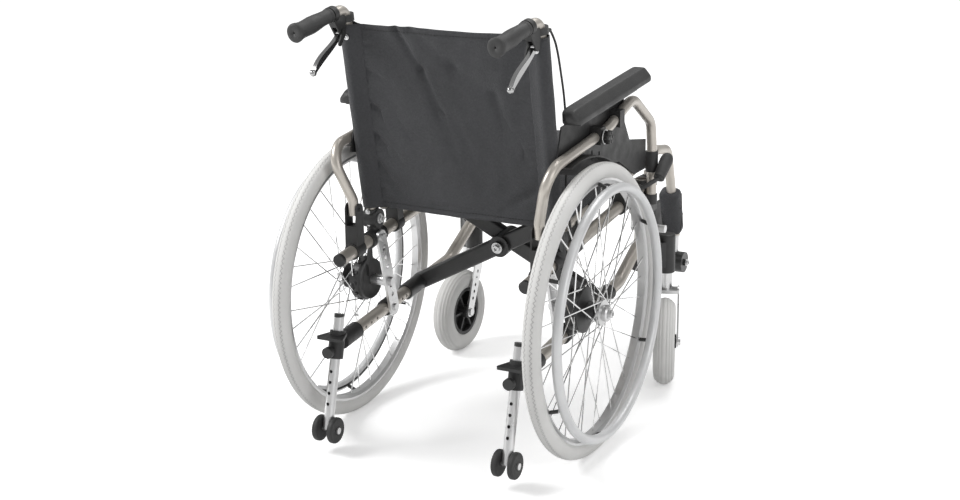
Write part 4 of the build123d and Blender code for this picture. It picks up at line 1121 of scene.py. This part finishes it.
# %% Push grips
handle_end = Vector((cane_x, -0.519, 0.885))
handle_run = (handle_end - cane_high).normalized()
grip_stations = (
    # distance along the grip, radius
    (0.000, 0.0132), (0.001, 0.0152), (0.006, 0.0152), (0.008, 0.0140), (0.012, 0.0142),
    (0.030, 0.0146), (0.050, 0.0158), (0.068, 0.0162), (0.086, 0.0152), (0.100, 0.0150),
    (0.110, 0.0160), (0.117, 0.0176), (0.122, 0.0180), (0.125, 0.0170), (0.126, 0.0150),
)
for side, hand in sides.items():
    mirror = Vector((hand, 1, 1))
    start = (handle_end - handle_run * 0.122) * mirror
    run = handle_run * mirror
    mesh = stepped_tube(start, run, 1, grip_stations, 40)
    end_cap = bmesh.ops.holes_fill(
        mesh, edges=[edge for edge in mesh.edges
                     if edge.is_boundary and (edge.verts[0].co - start).dot(run) > 0.1],
        sides=0,
    )["faces"]
    for thickness, depth in ((0.0015, 0.0006), (0.0112, 0.0004), (0.0003, -0.006)):
        bmesh.ops.inset_region(mesh, faces=end_cap, thickness=thickness, depth=depth)
    for vert in mesh.verts:
        along = (vert.co - start).dot(run)
        drop = (vert.co - start - run * along).z
        if drop < 0:
            vert.co.z += drop * 0.22 * max(0.0, sin(pi * (along / 0.126 - 0.25)))
    grip = add_piece(side + "_shaped_grip", mesh, side + "_frame", "soft_grip")
    thicken(grip, "grip wall", 0.0012, -1.0)
    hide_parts(side + "_push_grip")
print("grips", len(grip.data.polygons), "faces")

# %% [markdown]
# ## Small bought parts
# The lever's ball end, the star knob on the guard's clip with its bright ring, and the egg-shaped
# grip of the wheel lock are small moulded or turned parts, so each is spun or stamped round its
# own axis.

# %% Ball, knob and lock grip
egg_stations = (
    # share of the length, radius
    (0.0, 0.0060), (0.02, 0.0095), (0.10, 0.0128), (0.35, 0.0136), (0.65, 0.0150),
    (0.82, 0.0148), (0.93, 0.0118), (0.985, 0.0066), (1.0, 0.0020),
)
for side, hand in sides.items():
    mesh = bmesh.new()
    bmesh.ops.create_uvsphere(
        mesh, u_segments=24, v_segments=16, radius=0.0068,
        matrix=Matrix.Translation((hand * cane_x, -0.4635, 0.7965)),
    )
    add_piece(side + "_lever_ball", mesh, side + "_brake_lever", "silver_metal", lever_finish)

    knob_at = Vector((hand * 0.274, -0.135, 0.646))
    facing = turned_to((hand, 0, 0))
    mesh = bmesh.new()
    add_disc(mesh, knob_at, facing, (0.0110, 0.0096), 0.008, 32)
    for lobe in range(6):
        turn = radians(60 * lobe)
        place = knob_at + Vector((0, cos(turn), sin(turn))) * 0.0108
        add_disc(mesh, place, facing, (0.0042, 0.0036), 0.009, 16)
    add_piece(side + "_star_knob", mesh, side + "_armrest", "black_plastic")
    ring = bmesh.new()
    ring_at = Matrix.Translation(knob_at - Vector((hand * 0.0085, 0, 0))) @ facing
    bmesh.ops.create_circle(
        ring, radius=0.0013, segments=12,
        matrix=ring_at @ Matrix.Translation((0.0142, 0, 0)) @ Matrix.Rotation(pi / 2, 4, "X"),
    )
    spin_round(ring, ring_at.translation, (1, 0, 0), 40)
    add_piece(side + "_knob_ring", ring, side + "_armrest", "silver_metal")

    grip_low = Vector((hand * 0.268, 0.1575, 0.4906))
    grip_high = Vector((hand * 0.268, 0.2195, 0.5337))
    run = (grip_high - grip_low).normalized()
    mesh = stepped_tube(grip_low, run, (grip_high - grip_low).length, egg_stations, 32)
    bmesh.ops.holes_fill(mesh, edges=mesh.edges, sides=0)
    subdivide(add_piece(side + "_lock_grip", mesh, side + "_lock_lever", "soft_grip"))

# %% [markdown]
# ## Bolts
# Bright bolts show all over the chair: through the canvas into the canes, at the canes' feet, in
# the brace's pivot and the footplate hubs, and on the clamps. They are one helper's work,
# gathered into one piece for each body that they ride on.

# %% Bolts
frame_bolts = (
    # place, direction, radius
    (on_back(0.2115, 0.853, 0.0160), rearward, 0.0042),
    (on_back(cane_x, 0.472, 0.0152), rearward, 0.0040),
    (on_back(cane_x, 0.444, 0.0152), rearward, 0.0040),
    (Vector((0.1990, -0.259, 0.452)), Vector((-1, 0, 0)), 0.0075),
    (Vector((0.1950, -0.250, 0.413)), Vector((-1, 0, 0)), 0.0050),
    (Vector((0.1950, -0.213, 0.242)), Vector((-1, 0, 0)), 0.0050),
    (Vector((0.2310, 0.196, 0.407)), Vector((1, 0, 0)), 0.0045),
    (Vector((0.2310, 0.196, 0.463)), Vector((1, 0, 0)), 0.0045),
    (Vector((0.2080, -0.352, 0.262)), Vector((0, 0, 1)), 0.0035),
)
for side, hand in sides.items():
    mirror = Vector((hand, 1, 1))
    mesh = bmesh.new()
    for place, direction, radius in frame_bolts:
        add_bolt(mesh, place * mirror, direction * mirror, radius)
    add_piece(side + "_frame_bolts", mesh, side + "_frame", "silver_metal", smooth=False)
    outward = Vector((hand, 0, 0))
    for name, body, place, radius in (
        ("axle_button", "rear_wheel", (hand * 0.3190, axle_y, axle_z), 0.0080),
        ("footplate_bolt", "legrest", (hand * 0.2262, 0.459, 0.210), 0.0062),
    ):
        mesh = bmesh.new()
        add_bolt(mesh, Vector(place), outward, radius)
        add_piece(f"{side}_{name}", mesh, f"{side}_{body}", "silver_metal", smooth=False)

brace_pivot = Vector((0, -0.1028, 0.3695))
mesh = bmesh.new()
add_bolt(mesh, brace_pivot, -seat_along, 0.0090, 6)
add_piece("brace_pivot_bolt", mesh, "brace_b", "silver_metal", smooth=False)
print("bolts on", 2 * len(frame_bolts) + 5, "places")

# %% [markdown]
# ## Riding on the chair
# The canvas and back pad can't follow the canes when the chair folds, so they ride on the right
# cane's frame. The seat's cloth keeps its place in the world.

# %% Cloth that crosses joints
for piece in (canvas, *hem_rows):
    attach(piece, "right_frame")
    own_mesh(piece)
for piece in (back_pad, pad_rim, *pad_seams):
    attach(piece, "right_frame")
    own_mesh(piece)
for piece in (cushion, cushion_piping, sling):
    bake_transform(piece)

# %% [markdown]
# ## Floor and light
# A product is shot on a white sweep under large soft boxes. The floor is a pale plane that looks
# white to the camera but keeps the chair's soft shadow, and the world lights the chair evenly.

# %% Floor
floor_mesh = bmesh.new()
bmesh.ops.create_grid(floor_mesh, x_segments=8, y_segments=8, size=30)
floor_data = bpy.data.meshes.new("floor")
floor_mesh.to_mesh(floor_data)
floor_mesh.free()
floor = show(bpy.data.objects.new("floor", floor_data))
floor_material, floor_shader, floor_place = new_finish("studio_floor")
floor_data.materials.append(floor_material)
light_path = add_node(floor_material, "LightPath").outputs
seen = maths(floor_material, "MAXIMUM", light_path["Is Camera Ray"], light_path["Is Glossy Ray"])
pale = mixed(floor_material, seen, grey(0.62), grey(0.93))
distance = add_node(
    floor_material, "VectorMath", {0: floor_place}, operation="LENGTH"
).outputs["Value"]
glow = maths(
    floor_material, "MULTIPLY", seen, spread(floor_material, distance, 0.33, 0.62, 0.8, 4.0)
)
set_shader(
    floor_material, floor_shader, Base_Color=pale, Roughness=0.9, Specular_IOR_Level=0.0,
    Emission_Color=grey(1.0), Emission_Strength=glow,
)

# %% Light
world = bpy.data.worlds.new("studio")
bpy.context.scene.world = world
world.use_nodes = True
sky = world.node_tree.nodes["Background"]
ray = world.node_tree.nodes.new("ShaderNodeLightPath").outputs
brightness = world.node_tree.nodes.new("ShaderNodeMapRange")
world.node_tree.links.new(ray["Is Camera Ray"], brightness.inputs["Value"])
sky_on_chair, sky_to_camera = 0.46, 1.0
brightness.inputs["To Min"].default_value = sky_on_chair
brightness.inputs["To Max"].default_value = sky_to_camera
world.node_tree.links.new(brightness.outputs[0], sky.inputs["Strength"])
sky.inputs["Color"].default_value = grey(1.0)


def soft_box(name, place, aim, size, power):
    """Square studio light turned to a point."""
    lamp = bpy.data.lights.new(name, "AREA")
    lamp.size, lamp.energy = size, power
    light = show(bpy.data.objects.new(name, lamp))
    light.location = place
    light.rotation_euler = (Vector(aim) - Vector(place)).to_track_quat("-Z", "Y").to_euler()


soft_box("key", (-2.9, -1.7, 3.0), (0, 0, 0.5), 1.5, 115)
soft_box("fill", (3.4, -1.4, 2.0), (0, 0, 0.5), 2.4, 36)
soft_box("top", (0.4, 1.4, 3.6), (0, 0, 0.4), 2.2, 48)
